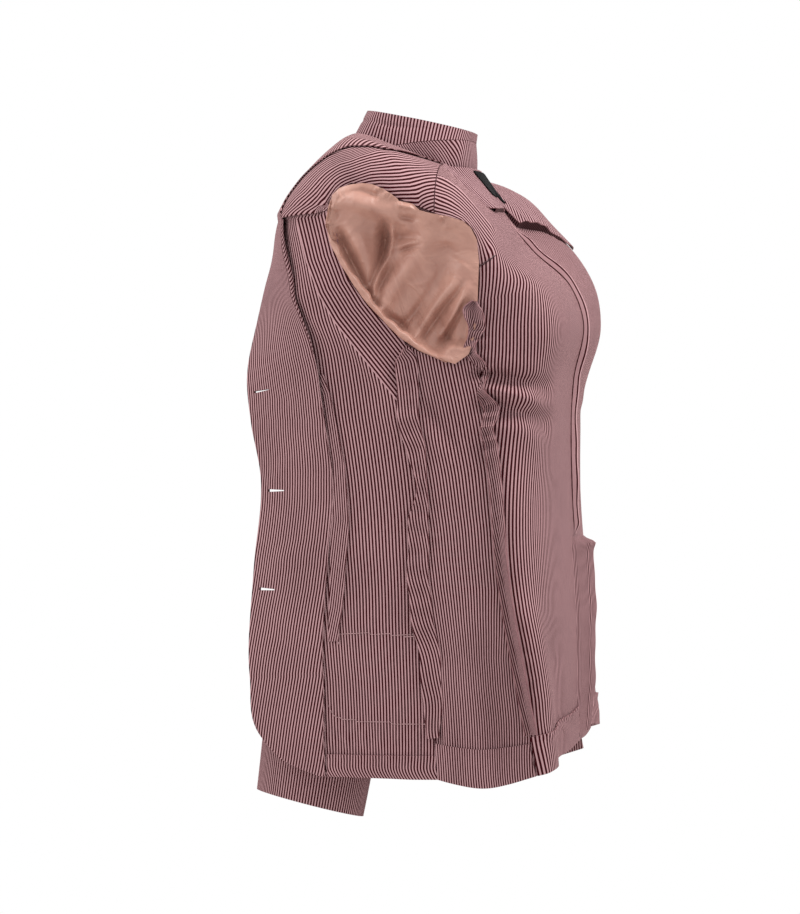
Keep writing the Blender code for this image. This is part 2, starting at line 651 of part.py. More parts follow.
def build_collar(trim, root):
    forward = Vector((0.0, -1.0, 0.0))
    rows = []
    for part in (0.0, 0.5, 1.0):
        row = []
        for angle in np.linspace(-STAND_REACH, STAND_REACH, 25):
            point = neck_point(angle)
            top = max(seam_height(point[1]) - SEAM_GAP, point[2] + 1.4)
            point[2] = point[2] - 0.5 + (top - point[2] + 0.5) * part
            point[:2] *= 1.0 - 0.02 * part
            row.append(point)
        rows.append(row)
    stand = np.array(rows)
    cloth("collar_stand", stand, COLLAR_WALL, trim, root, (Vector(stand[1, 12]), forward))

    rows = []
    for part in (0.0, 0.33, 0.67, 1.0):
        row = []
        for angle in np.linspace(-COLLAR_REACH, COLLAR_REACH, 37):
            point = neck_point(angle)
            low = max(seam_height(point[1]) + SEAM_GAP, point[2] - 0.5)
            if abs(angle) < STAND_REACH + 6.0:
                low = max(low, point[2] + 1.4 + SEAM_GAP)
            backward = smooth((abs(angle) - 85.0) / 60.0) * part
            point[0] *= 0.98 - 0.12 * part
            point[1] *= 0.98 + 0.03 * part - 0.24 * backward
            point[2] = low + (leaf_top(point[1]) - low) * part
            row.append(point)
        rows.append(row)
    leaf = np.array(rows)
    cloth("collar_leaf", leaf, COLLAR_WALL, trim, root, (Vector(leaf[1, 18]), forward))


def armhole_rim(edges, out=0.0):
    """The armhole edge from the shoulder tip round the rear, the underarm and the front."""
    return [panel.at(downs, columns, out) for panel, downs, columns in edges]


def build_sleeves(edges, shell, silk, root):
    rear, under, ahead = armhole_rim(edges, -(SHELL_WALL + 2.0))
    loop = resample(np.concatenate([rear, under, ahead, rear[:1]]), SLEEVE_COLUMNS + 1)
    angles = np.linspace(0.0, 2.0 * math.pi, SLEEVE_COLUMNS + 1)
    centre = loop[:-1].mean(axis=0)
    top = loop + unit((centre - loop) * np.array([0.0, 1.0, 1.0])) * RIM_GAP
    first = sleeve_ring(SLEEVE_ROWS[0], angles)
    grid = []
    for t in np.linspace(0.0, 1.0, 6):
        away = top + np.array([SLEEVE_TURN_IN, 0.0, 0.0]) * (0.5 + 0.5 * np.cos(angles))[:, None]
        above = first + np.array([0.0, 0.0, SLEEVE_TURN_DOWN]) * (0.55 + 0.45 * np.cos(angles))[:, None]
        grid.append(top * (1 - t)**3 + away * 3 * t * (1 - t)**2 + above * 3 * t**2 * (1 - t) + first * t**3)
    tube = Loft([sleeve_ring(row, angles) for row in SLEEVE_ROWS])
    downs = np.linspace(0.0, tube.length, 8)[1:]
    lower = tube.base(downs[:, None], np.linspace(0.0, 1.0, SLEEVE_COLUMNS + 1)[None, :])
    grid = np.concatenate([np.array(grid), lower])
    medial = (Vector(grid[9, 0]), Vector((1.0, 0.0, 0.0)))
    cloth("sleeve_right", grid, SHELL_WALL, shell, root, medial, closed=True)
    gather = np.concatenate([np.zeros(6), downs / tube.length])
    grid[:, :, 2] += LEFT_CUFF_RISE * gather[:, None]
    flipped, turned = mirrored(grid, medial)
    cloth("sleeve_left", flipped, SHELL_WALL, shell, root, turned, closed=True)

    rims = [resample(rim, 40) for rim in armhole_rim(edges)]
    build_lining(*rims, silk, root)


def build_lining(rear, under, ahead, silk, root):
    outward = Vector((-1.0, 0.0, 0.0))
    centre = np.concatenate([rear, under, ahead]).mean(axis=0)

    def shrink(points, gap):
        return points + unit((centre - points) * np.array([0.0, 1.0, 1.0])) * gap

    crest = int(np.argmax(rear[:, 2]))
    corner = int(np.argmin(np.abs(ahead[:, 2] + 84.0)))
    top = resample(shrink(np.concatenate([rear[crest::-1], ahead[:corner - 1:-1]]), RIM_GAP), LINING_COLUMNS)
    rear_foot = np.array([[-158.0, 4.0, -216.0], [-156.0, -8.0, -246.0]])
    front_foot = np.array([[-164.0, -66.0, -212.0], [-158.0, -60.0, -246.0]])
    left = resample(np.concatenate([shrink(rear[crest:-6], RIM_GAP), rear_foot]), LINING_ROWS)
    right = resample(np.concatenate([shrink(ahead[corner::-1], RIM_GAP)[:-8], front_foot]), LINING_ROWS)
    low = np.linspace(left[-1], right[-1], LINING_COLUMNS)
    grid = np.zeros((LINING_ROWS, LINING_COLUMNS, 3))
    for i, t in enumerate(np.linspace(0.0, 1.0, LINING_ROWS)):
        for j, s in enumerate(np.linspace(0.0, 1.0, LINING_COLUMNS)):
            ruled = top[j] * (1 - t) + low[j] * t + left[i] * (1 - s) + right[i] * s
            corners = ((top[0] * (1 - s) + top[-1] * s) * (1 - t) + (low[0] * (1 - s) + low[-1] * s) * t)
            point = ruled - corners
            rim = math.sin(math.pi * s) ** 0.7
            puff = 12.0 * math.exp(-((t - 0.20) / 0.16) ** 2) * rim
            tuck = 13.0 * smooth((t - 0.22) / 0.14) * (1.0 - smooth(s / 0.5)) * (1.0 - smooth((t - 0.6) / 0.3))
            sink = 20.0 * smooth((t - 0.30) / 0.40) * rim * (1.0 - smooth((t - 0.75) / 0.25))
            point[0] += tuck + sink - puff
            point[1] -= 8.0 * smooth((t - 0.08) / 0.16) * (1.0 - smooth(s / 0.5)) * (1.0 - smooth((t - 0.6) / 0.3))
            grid[i, j] = point
    pair("lining", grid, LINING_WALL, silk, root, (Vector(grid[3, 6]), outward))

    start = int(np.argmin(np.abs(rear[:, 2] + 82.0) + 100.0 * (np.arange(len(rear)) < crest)))
    rim = resample(np.concatenate([rear[start:], under]), 24)
    edge = shrink(rim, 0.8)
    grow = smooth(np.linspace(0.0, 1.0, 24) / 0.2)[:, None]
    inner = shrink(rim, 1.0) + (shrink(rim, 9.0) - shrink(rim, 1.0)) * grow
    middle = (edge + inner) / 2.0 + np.array([-1.5, 0.0, 0.0]) * grow
    inner = inner + np.array([4.0, 0.0, 0.0]) * grow + shrink(rim, 1.5) - rim
    ribbon = np.stack([edge, middle, inner], axis=1)
    pair("lining_edge", ribbon, LINING_WALL, silk, root, (Vector(ribbon[12, 1]), outward))


def build_pockets(front, front_downs, front_shares, front_grid, shell, root):
    """Patch pockets on the face side, made from the front's own facets so that they lie flat on it."""
    top = float(front.down_at_height(POCKET_TOP, 0.7))
    bottom = float(front.down_at_height(POCKET_BOTTOM, 0.7))
    inside = front_downs[(front_downs > top + 4.0) & (front_downs < bottom - 24.0)]
    downs = np.concatenate([[top], inside, [bottom - 20.0, bottom - 7.0, bottom]])
    columns = range(FACING_COLUMNS, FRONT_COLUMNS + 1)
    share = np.array([np.interp(downs, front_downs, front_shares[:, column]) for column in columns]).T
    face = np.array([[np.interp(downs, front_downs, front_grid[:, column, axis]) for axis in range(3)]
                     for column in columns]).transpose(2, 0, 1)
    face[:, -1] += (face[:, -2] - face[:, -1]) * 0.3
    for row, part in ((-2, 0.15), (-1, 0.8)):
        face[row, 0] += (face[row, 1] - face[row, 0]) * part
        face[row, -1] += (face[row, -2] - face[row, -1]) * part
    grid = face - front.normal(downs[:, None], share) * (SHELL_WALL + POCKET_SEAT)
    pair("pocket", grid, TRIM_WALL, shell, root, outward_of(front, float(downs[2]), 0.7))


def build_buttons(front, horn, root):
    for number, row in enumerate(BUTTONS, start=1):
        down = float(front.down_at_height(row.z, 0.1))
        share = (BUTTON_INSET + BUTTONHOLE_LENGTH / 2) / front.width(down)
        centre = front.at(down, share, -(SHELL_WALL + row.seat + BUTTON_WALL / 2))
        normal = front.normal(down, share)
        flip = np.array([-1.0, 1.0, 1.0])
        place, axis = Vector(centre * flip), Vector(normal * flip)
        bpy.ops.mesh.primitive_cylinder_add(vertices=20, radius=BUTTON_DIAMETER / 2 * MM,
                                            depth=BUTTON_WALL * MM)
        button = bpy.context.object
        button.name = f"button_{number}"
        button.data.name = button.name
        button.rotation_mode = "QUATERNION"
        button.rotation_quaternion = axis.to_track_quat("Z", "Y")
        button.location = place * MM
        button.parent = root
        rounding = button.modifiers.new("rounded edge", "BEVEL")
        rounding.width = 0.8 * MM
        rounding.segments = 1
        apply_modifiers(button)
        button.data.materials.append(horn)


main()
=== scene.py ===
import math

import bpy
import numpy as np
from mathutils import Matrix, Vector


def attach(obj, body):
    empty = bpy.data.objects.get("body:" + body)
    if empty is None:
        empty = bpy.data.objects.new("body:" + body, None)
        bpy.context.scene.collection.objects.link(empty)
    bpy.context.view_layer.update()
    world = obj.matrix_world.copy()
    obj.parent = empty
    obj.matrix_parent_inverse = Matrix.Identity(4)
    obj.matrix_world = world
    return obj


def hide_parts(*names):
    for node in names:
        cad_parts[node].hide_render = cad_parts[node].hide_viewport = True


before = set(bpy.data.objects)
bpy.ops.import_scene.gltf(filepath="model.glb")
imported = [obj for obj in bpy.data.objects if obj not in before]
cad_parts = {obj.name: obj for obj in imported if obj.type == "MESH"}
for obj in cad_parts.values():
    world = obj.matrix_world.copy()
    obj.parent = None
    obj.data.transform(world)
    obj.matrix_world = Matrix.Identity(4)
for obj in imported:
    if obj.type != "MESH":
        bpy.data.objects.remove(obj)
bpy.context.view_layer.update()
print("frame loaded:", len(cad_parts), "nodes")

# All tables are in millimetres unless a note says picture pixels. The wearer faces -Y, the right side is -X.
mm = 0.001
cloth = {"shellWall": 1.4, "trimWall": 1.1, "liningWall": 1.0, "collarWall": 2.0, "labelWall": 1.0,
         "layerGap": 0.5, "seamGap": 0.3, "rimGap": 2.2, "neckGap": 2.0, "stripe": 3.45, "cell": 3.4}
trimOut = cloth["layerGap"] + cloth["trimWall"]
view = {"turn": 10, "target": (0.0, 23.4, -307.0), "distance": 4000.0, "focal": 150.05, "sensor": 36.0,
        "wide": 800, "high": 914}
turn = math.radians(view["turn"])
viewAhead = np.array([math.cos(turn), math.sin(turn), 0.0])
viewRight = np.array([math.sin(turn), -math.cos(turn), 0.0])
viewEye = np.array(view["target"]) - viewAhead * view["distance"]
viewZoom = view["focal"] / view["sensor"] * view["high"]


def seenAt(points):  # picture pixel where the camera sees each point
    fromEye = points - viewEye
    zoom = viewZoom / (fromEye @ viewAhead)
    return np.stack([view["wide"] / 2 + (fromEye @ viewRight) * zoom,
                     view["high"] / 2 - fromEye[..., 2] * zoom], axis=-1)


def fromPicture(spots, depth):  # the point at a depth from the camera that is seen at a picture pixel
    across = (spots[..., 0] - view["wide"] / 2) / viewZoom
    up = (view["high"] / 2 - spots[..., 1]) / viewZoom
    aim = viewAhead + across[..., None] * viewRight + up[..., None] * np.array([0, 0, 1.0])
    return viewEye + depth[..., None] * aim


def smooth(value):
    value = np.clip(value, 0.0, 1.0)
    return value * value * (3.0 - 2.0 * value)


def unit(vectors):
    return vectors / np.linalg.norm(vectors, axis=-1, keepdims=True)


def resample(points, count):  # even steps along a bent line, in space or in the picture
    points = np.asarray(points, float)
    steps = np.linalg.norm(np.diff(points, axis=0), axis=1)
    length = np.concatenate([[0.0], np.cumsum(steps)])
    wanted = np.linspace(0.0, length[-1], count)
    return np.stack([np.interp(wanted, length, points[:, axis]) for axis in range(points.shape[1])], axis=1)


def runAlong(grid, axis):  # length gone along each row (axis 1) or down each column (axis 0)
    steps = np.linalg.norm(np.diff(grid, axis=axis), axis=2)
    start = np.zeros_like(np.take(steps, [0], axis=axis))
    return np.concatenate([start, np.cumsum(steps, axis=axis)], axis=axis)


def byHeight(spots, table):  # (picture row, value) pairs read at each spot
    return np.interp(spots[..., 1], *np.array(table).T)


def rowsAt(wanted, downs, table):  # a table of rows read between its rows
    return np.array([np.interp(wanted, downs, column) for column in table.T]).T


def alongLine(spots, line):  # nearest place on a line: distance, side (right is +), travel, values
    line = np.array(line, float)
    best = np.full(spots.shape[:-1], 1e9)
    side = np.ones(best.shape)
    travel = np.zeros(best.shape)
    values = np.zeros(best.shape + (line.shape[1] - 2,))
    gone = 0.0
    for start, end in zip(line[:-1], line[1:]):
        run = end[:2] - start[:2]
        length = np.hypot(*run)
        part = np.clip(((spots - start[:2]) @ run) / length ** 2, 0.0, 1.0)
        offset = spots - start[:2] - part[..., None] * run
        away = np.hypot(offset[..., 0], offset[..., 1])
        nearer = away < best
        cross = (spots[..., 0] - start[0]) * run[1] - (spots[..., 1] - start[1]) * run[0]
        best = np.where(nearer, away, best)
        side = np.where(nearer, np.sign(cross), side)
        travel = np.where(nearer, gone + part * length, travel)
        values = np.where(nearer[..., None], start[2:] + (end[2:] - start[2:]) * part[..., None], values)
        gone += length
    return best, side, travel, values


# Folds are lines in picture pixels: across, down, depth in mm (out is +) and half width in pixels.
# A lean makes one flank steeper. Puckers ripple along a seam.
nearFolds = [
    {"line": [(318, 292, 0, 6), (340, 328, 3.5, 7), (372, 370, 4.5, 8), (406, 414, 2, 7)], "lean": 0.45},
    {"line": [(322, 318, 0, 6), (346, 352, -2.5, 7), (378, 396, -2.5, 8), (404, 428, 0, 8)]},
    {"line": [(416, 398, 0, 8), (430, 414, -3, 7), (455, 445, -4.5, 7), (477, 486, 0, 8)], "lean": -0.4},
    {"line": [(422, 424, 0, 8), (446, 452, 2.6, 8), (468, 492, 0, 10)], "lean": 0.2},
    {"line": [(478, 372, -6, 7), (505, 377, -8, 7), (530, 383, -5, 8), (556, 388, 0, 12)], "lean": -0.3},
    {"line": [(480, 387, 6, 7), (508, 393, 7, 7), (534, 399, 4, 9), (558, 404, 0, 12)], "lean": 0.2},
    {"line": [(486, 403, -6, 7), (512, 409, -7, 7), (540, 416, -3, 9), (562, 422, 0, 12)], "lean": -0.3},
    {"line": [(486, 362, 2.5, 8), (515, 366, 2, 8), (545, 374, 0, 10)]},
    {"line": [(486, 424, 2, 8), (520, 428, 1.5, 9), (550, 440, 0, 12)]},
    {"line": [(438, 640, 0, 6), (446, 680, 3, 7), (448, 735, 3, 8), (452, 780, 2, 9)], "lean": 0.2},
    {"line": [(432, 655, 0, 6), (436, 700, -3.5, 6), (438, 742, -3, 6)]},
    {"line": [(475, 690, 0, 10), (478, 740, 3, 10), (480, 792, 4.5, 11)]},
    {"line": [(456, 720, 0, 8), (459, 760, -2, 8), (458, 788, -3, 9)]},
    {"line": [(505, 700, 0, 9), (505, 750, -2.5, 9), (504, 790, -3.5, 10)]},
    {"line": [(545, 700, 0, 9), (552, 740, -2, 9), (556, 775, -3.5, 9)]},
    {"line": [(530, 690, 0, 9), (536, 735, 2, 9), (540, 780, 2.5, 10)]},
    {"line": [(572, 690, 0, 8), (574, 730, 1.5, 8), (574, 755, 2.5, 8)]},
    {"line": [(585, 700, 0, 6), (588, 725, -2, 6), (590, 745, -2.5, 6)]},
    {"line": [(256, 388, 0, 8), (285, 400, -1.6, 9), (312, 420, 0, 10)]},
    {"line": [(262, 500, 0, 8), (285, 470, 1.4, 10), (312, 455, 0, 10)]},
    {"line": [(258, 585, 0, 9), (284, 560, 1.5, 10), (312, 545, 0, 12)]},
    {"line": [(254, 612, 0, 8), (280, 640, -1.4, 11), (305, 680, 0, 12)]},
    {"line": [(346, 585, 0, 9), (352, 650, 1.2, 10), (350, 710, 0, 12)]},
    {"line": [(385, 600, 0, 14), (388, 680, -1.5, 14), (392, 770, -1.5, 14)]},
]
nearPuckers = [
    {"line": [(470, 318), (480, 360), (488, 410), (492, 450)], "half": 8, "depth": 1.9, "period": 12},
    {"line": [(492, 450), (500, 540), (515, 620), (530, 700)], "half": 6, "depth": 0.5, "period": 19},
    {"line": [(405, 350), (412, 420), (424, 480), (419, 560),
              (426, 640)], "half": 7, "depth": 0.8, "period": 21},
    {"line": [(325, 740), (430, 738), (470, 750), (520, 748), (560, 728),
              (598, 695)], "half": 8, "depth": 0.8,
     "period": 17},
    {"line": [(330, 718), (430, 724)], "half": 6, "depth": 0.5, "period": 13},
]


def varied(lines):  # the hidden side has the same kinds of folds, each a little elsewhere
    moved = []
    for number, fold in enumerate(lines):
        shift = (7.0 * math.sin(2.1 * number + 0.4), 11.0 * math.sin(3.7 * number + 1.0))
        share = 0.8 + 0.25 * math.sin(1.3 * number)
        line = [(row[0] + shift[0], row[1] + shift[1]) + ((row[2] * share, row[3]) if len(row) > 2 else ())
                for row in fold["line"]]
        moved.append({**fold, "line": line})
    return moved


def foldHeight(spots, folds, puckers=()):
    height = np.zeros(spots.shape[:-1])
    for fold in folds:
        away, side, _, values = alongLine(spots, fold["line"])
        half = values[..., 1] * (1.0 + fold.get("lean", 0.0) * side)
        height += values[..., 0] * np.exp(-(away / np.maximum(half, 1e-3)) ** 2)
    for pucker in puckers:
        away, side, travel, _ = alongLine(spots, pucker["line"])
        wave = np.sin(2 * math.pi * travel / pucker["period"]) + 0.5 * np.sin(travel * 1.37 + 1.0 + 0.4 * side)
        height += pucker["depth"] * wave * np.exp(-(away / pucker["half"]) ** 2)
    return height


def paired(down, share):
    return np.broadcast_arrays(np.asarray(down, float), np.asarray(share, float))


class Loft:  # smooth surface through rows, measured down from the first row and across from 0 to 1
    def __init__(self, rows):
        self.rows = np.array(rows)
        self.samples = self.rows.shape[1]
        gaps = np.linalg.norm(np.diff(self.rows, axis=0), axis=2).mean(axis=1)
        self.knots = np.concatenate([[0.0], np.cumsum(gaps)])
        self.length = self.knots[-1]
        self.slopes = np.gradient(self.rows, self.knots, axis=0)

    def across(self, table, row, share):
        spot = np.clip(share, 0.0, 1.0) * (self.samples - 1)
        low = np.minimum(spot.astype(int), self.samples - 2)
        part = (spot - low)[..., None]
        return table[row, low] * (1.0 - part) + table[row, low + 1] * part

    def base(self, down, share):
        down, share = paired(down, share)
        down = np.clip(down, 0.0, self.length)
        row = np.clip(np.searchsorted(self.knots, down, side="right") - 1, 0, len(self.knots) - 2)
        span = self.knots[row + 1] - self.knots[row]
        t = ((down - self.knots[row]) / span)[..., None]
        leave = self.across(self.slopes, row, share) * span[..., None]
        arrive = self.across(self.slopes, row + 1, share) * span[..., None]
        return (self.across(self.rows, row, share) * (2 * t**3 - 3 * t**2 + 1) + leave * (t**3 - 2 * t**2 + t)
                + self.across(self.rows, row + 1, share) * (3 * t**2 - 2 * t**3) + arrive * (t**3 - t**2))


class Panel(Loft):  # a cut piece: large creases in share and height, fine folds in picture pixels
    def __init__(self, rows, creases=(), stepRow=None, folds=(), puckers=()):
        super().__init__([resample(row, 161) for row in rows])
        self.creases = creases
        self.folds = folds
        self.puckers = puckers
        self.stepAt = None if stepRow is None else self.knots[stepRow]
        self.sign = 1.0
        middle = self.base(self.length * 0.6, 0.5)
        if self.normal(self.length * 0.6, 0.5)[:2] @ middle[:2] < 0.0:
            self.sign = -1.0

    def normal(self, down, share):
        down, share = paired(down, share)
        along = (self.base(np.clip(down + 4.0, 0.0, self.length), share)
                 - self.base(np.clip(down - 4.0, 0.0, self.length), share))
        across = (self.base(down, np.clip(share + 0.02, 0.0, 1.0))
                  - self.base(down, np.clip(share - 0.02, 0.0, 1.0)))
        return self.sign * unit(np.cross(across, along))

    def relief(self, down, share, stepped=1.0, fine=1.0):
        down, share = paired(down, share)
        place = self.base(down, share)
        width = np.linalg.norm(self.base(down, 1.0) - self.base(down, 0.0), axis=-1)
        height = np.zeros(down.shape)
        for shareA, zA, shareB, zB, half, depth in self.creases:
            run = np.stack([(shareB - shareA) * width, np.full(width.shape, float(zB - zA))], axis=-1)
            here = np.stack([(share - shareA) * width, place[..., 2] - zA], axis=-1)
            part = np.clip((run * here).sum(-1) / (run * run).sum(-1), 0.0, 1.0)
            away = np.linalg.norm(here - run * part[..., None], axis=-1)
            height += depth * np.exp(-(away / half) ** 2)
        if self.stepAt is not None:
            past = down - self.stepAt
            inner = 1.0 - 0.9 * smooth((share - 0.80) / 0.20)
            height -= (stepped * shoulder["foldStep"] * inner * smooth(past / 5.0)
                       * (1.0 - smooth((past - 12.0) / 75.0)))
        return height + fine * foldHeight(seenAt(place), self.folds, self.puckers)

    def at(self, down, share, out=0.0, stepped=1.0, fine=1.0):
        lift = self.relief(down, share, stepped, fine) + out
        return self.base(down, share) + self.normal(down, share) * lift[..., None]

    def downAtHeight(self, z, share):
        trial = np.linspace(0.0, self.length, 400)
        heights = self.base(trial, share)[:, 2]
        first = int(np.argmax(heights < heights[0] - 0.5))
        order = slice(max(first - 1, 0), None)
        return np.interp(-np.asarray(z, float), -heights[order], trial[order])

    def shareAtDepth(self, downs, y):
        trial = np.linspace(0.0, 1.0, 200)
        return np.array([np.interp(-y, -self.base(np.full(200, down), trial)[:, 1], trial) for down in downs])

    def shareOnLine(self, downs, line):  # where each row crosses a line in picture pixels
        trial = np.linspace(0.0, 1.0, 240)
        spots = seenAt(self.base(np.asarray(downs)[:, None], trial[None, :]))
        line = np.array(line, float)
        ahead = spots[..., 0] - np.interp(spots[..., 1], line[:, 1], line[:, 0])
        near = np.argmin(np.abs(ahead), axis=1)[:, None]
        slope = np.take_along_axis(np.gradient(ahead, trial, axis=1), near, axis=1)
        step = np.take_along_axis(ahead, near, axis=1) / np.where(slope == 0.0, 1.0, slope)
        step = np.clip(step, -0.004, 0.004)
        found = np.clip(trial[near] - step, 0.0, 1.0)[:, 0]
        return np.convolve(np.pad(found, 6, mode="edge"), np.ones(13) / 13.0, mode="valid")

    def width(self, down):
        row = self.base(np.full(60, float(down)), np.linspace(0.0, 1.0, 60))
        return np.linalg.norm(np.diff(row, axis=0), axis=1).sum()


# Neck, shoulders and the three cut panels, the same sections as the solids.
neck = {"halfWidth": 68.0, "front": 57.0, "back": 76.0, "roundness": 2.5, "low": -8.0, "rise": 34.0}
shoulder = {"angle": 61.0, "tip": (-186, -44, -63), "foldStep": 7.0, "roundness": 2.0}
backRows = [  # centre y, centre z, side point, boxiness
    (-84, -48, (-178, -81, -78), 3.6), (-118, -92, (-176, -87, -119), 4.8),
    (-158, -130, (-178, -86, -155), 5.4), (-171, -165, (-180, -82, -188), 5.6),
    (-161, -225, (-182, -92, -240), 4.2), (-159, -330, (-185, -104, -330), 2.6),
    (-164, -420, (-188, -112, -420), 2.6), (-168, -505, (-188, -129, -520), 2.9),
    (-166, -600, (-182, -148, -624), 3.4)]
neckRows = [  # side point, neck angle, belly, crown, facing share
    (shoulder["tip"], shoulder["angle"], 0, 0, 0.16), ((-184, -19, -53), 80, 1, 0, 0.20),
    ((-181, 6, -43), 100, 3, 1, 0.46), ((-177, 27, -37), 124, 5, -2, 0.57),
    ((-173, 45, -32), 148, 8, -5, 0.62)]
frontRows = [  # side point, front edge point, belly, crown, facing share
    ((-172, 57, -44), (-38, 80, 16), 9, -3, 0.53), ((-177, 64, -58), (-78, 134, -60), 22, 0, 0.42),
    ((-184, 47, -122), (-104, 141, -118), 18, 0, 0.49), ((-186, 16, -163), (-122, 148, -165), 18, 0, 0.49),
    ((-186, -15, -195), (-140, 155, -215), 16, 0, 0.48), ((-188, -21, -270), (-150, 150, -270), 14, 0, 0.51),
    ((-190, -33, -330), (-152, 139, -330), 12, 0, 0.48), ((-192, -28, -410), (-154, 146, -420), 13, 0, 0.49),
    ((-196, -40, -520), (-155, 150, -530), 14, 0, 0.45), ((-199, -47, -590), (-158, 138, -590), 12, 0, 0.39),
    ((-200, -49, -612), (-166, 112, -614), 8, 0, 0.27), ((-200, -50, -628), (-180, 75, -628), 4, 0, 0.06)]
sidePiece = {"sag": 16.0, "hemSag": 10.0, "belly": 4.0}
leftFullness = (30, 38, 16, 6)
leftHemRise = 22.0
backCreases = [(1.00, -222, 0.66, -240, 13, -5), (1.00, -256, 0.62, -276, 13, -4),
               (0.92, -470, 0.84, -625, 20, 6), (0.70, -520, 0.66, -610, 22, -4)]
frontCreases = [(0.52, -150, 0.93, -268, 15, 5), (0.72, -480, 0.80, -628, 24, 4)]
sideCreases = [(0.10, -300, 0.70, -262, 14, -4), (0.22, -500, 0.20, -628, 20, -6),
               (0.62, -540, 0.60, -628, 20, 4)]


def neckHeight(y):
    return neck["low"] + neck["rise"] * np.clip((y + 40.0) / 91.0, 0.0, 1.0) ** 1.1


def neckPoint(degrees, out=0.0):
    angle = math.radians(abs(degrees))
    power = 2.0 / neck["roundness"]
    depth = neck["front"] if angle < math.pi / 2 else neck["back"]
    x = -math.copysign(1.0, degrees) * (neck["halfWidth"] + out) * math.sin(angle) ** power
    y = -math.copysign(1.0, math.cos(angle)) * (depth + out) * abs(math.cos(angle)) ** power
    return np.array([x, y, neckHeight(y)])


def backRow(centreY, centreZ, side, boxiness):
    angle = np.linspace(0.0, math.pi / 2, 241)
    power = 2.0 / boxiness
    x = side[0] * np.sin(angle) ** power
    y = side[1] + (centreY - side[1]) * np.abs(np.cos(angle)) ** power
    length = np.concatenate([[0.0], np.cumsum(np.hypot(np.diff(x), np.diff(y)))])
    z = centreZ + (side[2] - centreZ) * (length / length[-1]) ** 2
    return np.stack([x, y, z], axis=1)


def bowedRow(edge, side, belly, crown, roundness=None):  # straight and bowed, or level and then rounded down
    edge, side = np.array(edge, float), np.array(side, float)
    part = np.linspace(0.0, 1.0, 161)[:, None]
    drop = part
    if roundness:
        angle = part * math.pi / 2
        part = np.sin(angle) ** (2.0 / roundness)
        drop = 1.0 - np.abs(np.cos(angle)) ** (2.0 / roundness)
    chord = side - edge
    outward = unit(np.array([chord[1], -chord[0], 0.0]))
    if outward[:2] @ (edge + side)[:2] < 0.0:
        outward = -outward
    fall = np.concatenate([part, part, drop], axis=1)
    return edge + chord * fall + 4.0 * part * (1.0 - part) * (outward * belly + np.array([0.0, 0.0, crown]))


def makeBack(folds, puckers, fullness=()):
    rows = [backRow(*row) for row in backRows]
    for row, extra in zip(rows, fullness):
        row[:, 1] -= extra * np.sin(np.pi * row[:, 0] / row[-1, 0]) ** 2
    if fullness:
        rows[-1][:, 2] += leftHemRise * smooth(rows[-1][:, 0] / rows[-1][-1, 0])
    neckline = [neckPoint(angle, cloth["neckGap"]) for angle in np.linspace(0.0, shoulder["angle"], 48)]
    seam = bowedRow(neckPoint(shoulder["angle"], cloth["neckGap"]), shoulder["tip"], 0, neckRows[0][3],
                    shoulder["roundness"])
    return Panel([neckline + list(seam[1:])] + rows, backCreases, folds=folds, puckers=puckers)


def makeFront(folds, puckers):
    rows = [bowedRow(neckPoint(row[1], cloth["neckGap"]), row[0], row[2], row[3], shoulder["roundness"])
            for row in neckRows]
    rows += [bowedRow(row[1], row[0], row[2], row[3], None if number else shoulder["roundness"])
             for number, row in enumerate(frontRows)]
    return Panel(rows, frontCreases, len(neckRows) + 1, folds, puckers)


def makeSide(back, front, backDowns, frontDowns, folds, puckers):
    rows = []
    for share, backDown, frontDown in zip(np.linspace(0.0, 1.0, len(backDowns)), backDowns, frontDowns):
        row = bowedRow(back.at(backDown, 1.0, fine=0.0), front.at(frontDown, 1.0, fine=0.0),
                       sidePiece["belly"], 0)
        part = np.linspace(0.0, 1.0, len(row))
        row[:, 2] -= sidePiece["sag"] * np.sin(np.pi * part ** 0.8) * (1.0 - smooth(share / 0.35))
        row[:, 2] -= sidePiece["hemSag"] * np.sin(np.pi * part) * smooth((share - 0.6) / 0.3)
        rows.append(row)
    return Panel(rows, sideCreases, folds=folds, puckers=puckers)


def makeHalf(folds, puckers, fullness=()):
    plain = makeBack((), ())
    back = makeBack(folds, puckers, fullness)
    front = makeFront(folds, puckers)
    hemZ, hemDepth = frontRows[-1][0][2], hems["depth"]
    steps = np.linspace(0.0, 1.0, 9, endpoint=False)
    levels = {}
    for name, top in (("back", backRows[3][2][2]), ("front", frontRows[4][0][2])):
        levels[name] = np.concatenate([top + steps * (hemZ + hemDepth - top),
                                       hemZ + np.linspace(hemDepth, 0.0, 4)])
    backLow = plain.downAtHeight(levels["back"], 1.0)
    frontLow = front.downAtHeight(levels["front"], 1.0)
    backLow[0], backLow[-1] = plain.knots[4], plain.length
    frontLow[0], frontLow[-1] = front.knots[len(neckRows) + 4], front.length
    side = makeSide(plain, front, backLow, frontLow, folds, puckers)
    toLeft = np.interp(backLow, plain.knots, back.knots)
    return {"back": back, "front": front, "side": side, "backLow": toLeft, "frontLow": frontLow}


hems = {"depth": 37.0, "cell": 3.0}
right = makeHalf(nearFolds, nearPuckers)
left = makeHalf(varied(nearFolds), varied(nearPuckers), leftFullness)
halves = (("Right", right, 1.0), ("Left", left, -1.0))
print("panels lofted, back", round(right["back"].length), "front", round(right["front"].length), "mm long")


def linear(colour):  # sRGB hex to linear
    channels = [int(colour[i:i + 2], 16) / 255 for i in (1, 3, 5)]
    return [c / 12.92 if c <= 0.04045 else ((c + 0.055) / 1.055) ** 2.4 for c in channels] + [1.0]


def setInputs(tree, node, links, values):
    for name, value in values.items():
        node.inputs[name].default_value = value
    for name, socket in links.items():
        tree.links.new(socket, node.inputs[name])
    return node


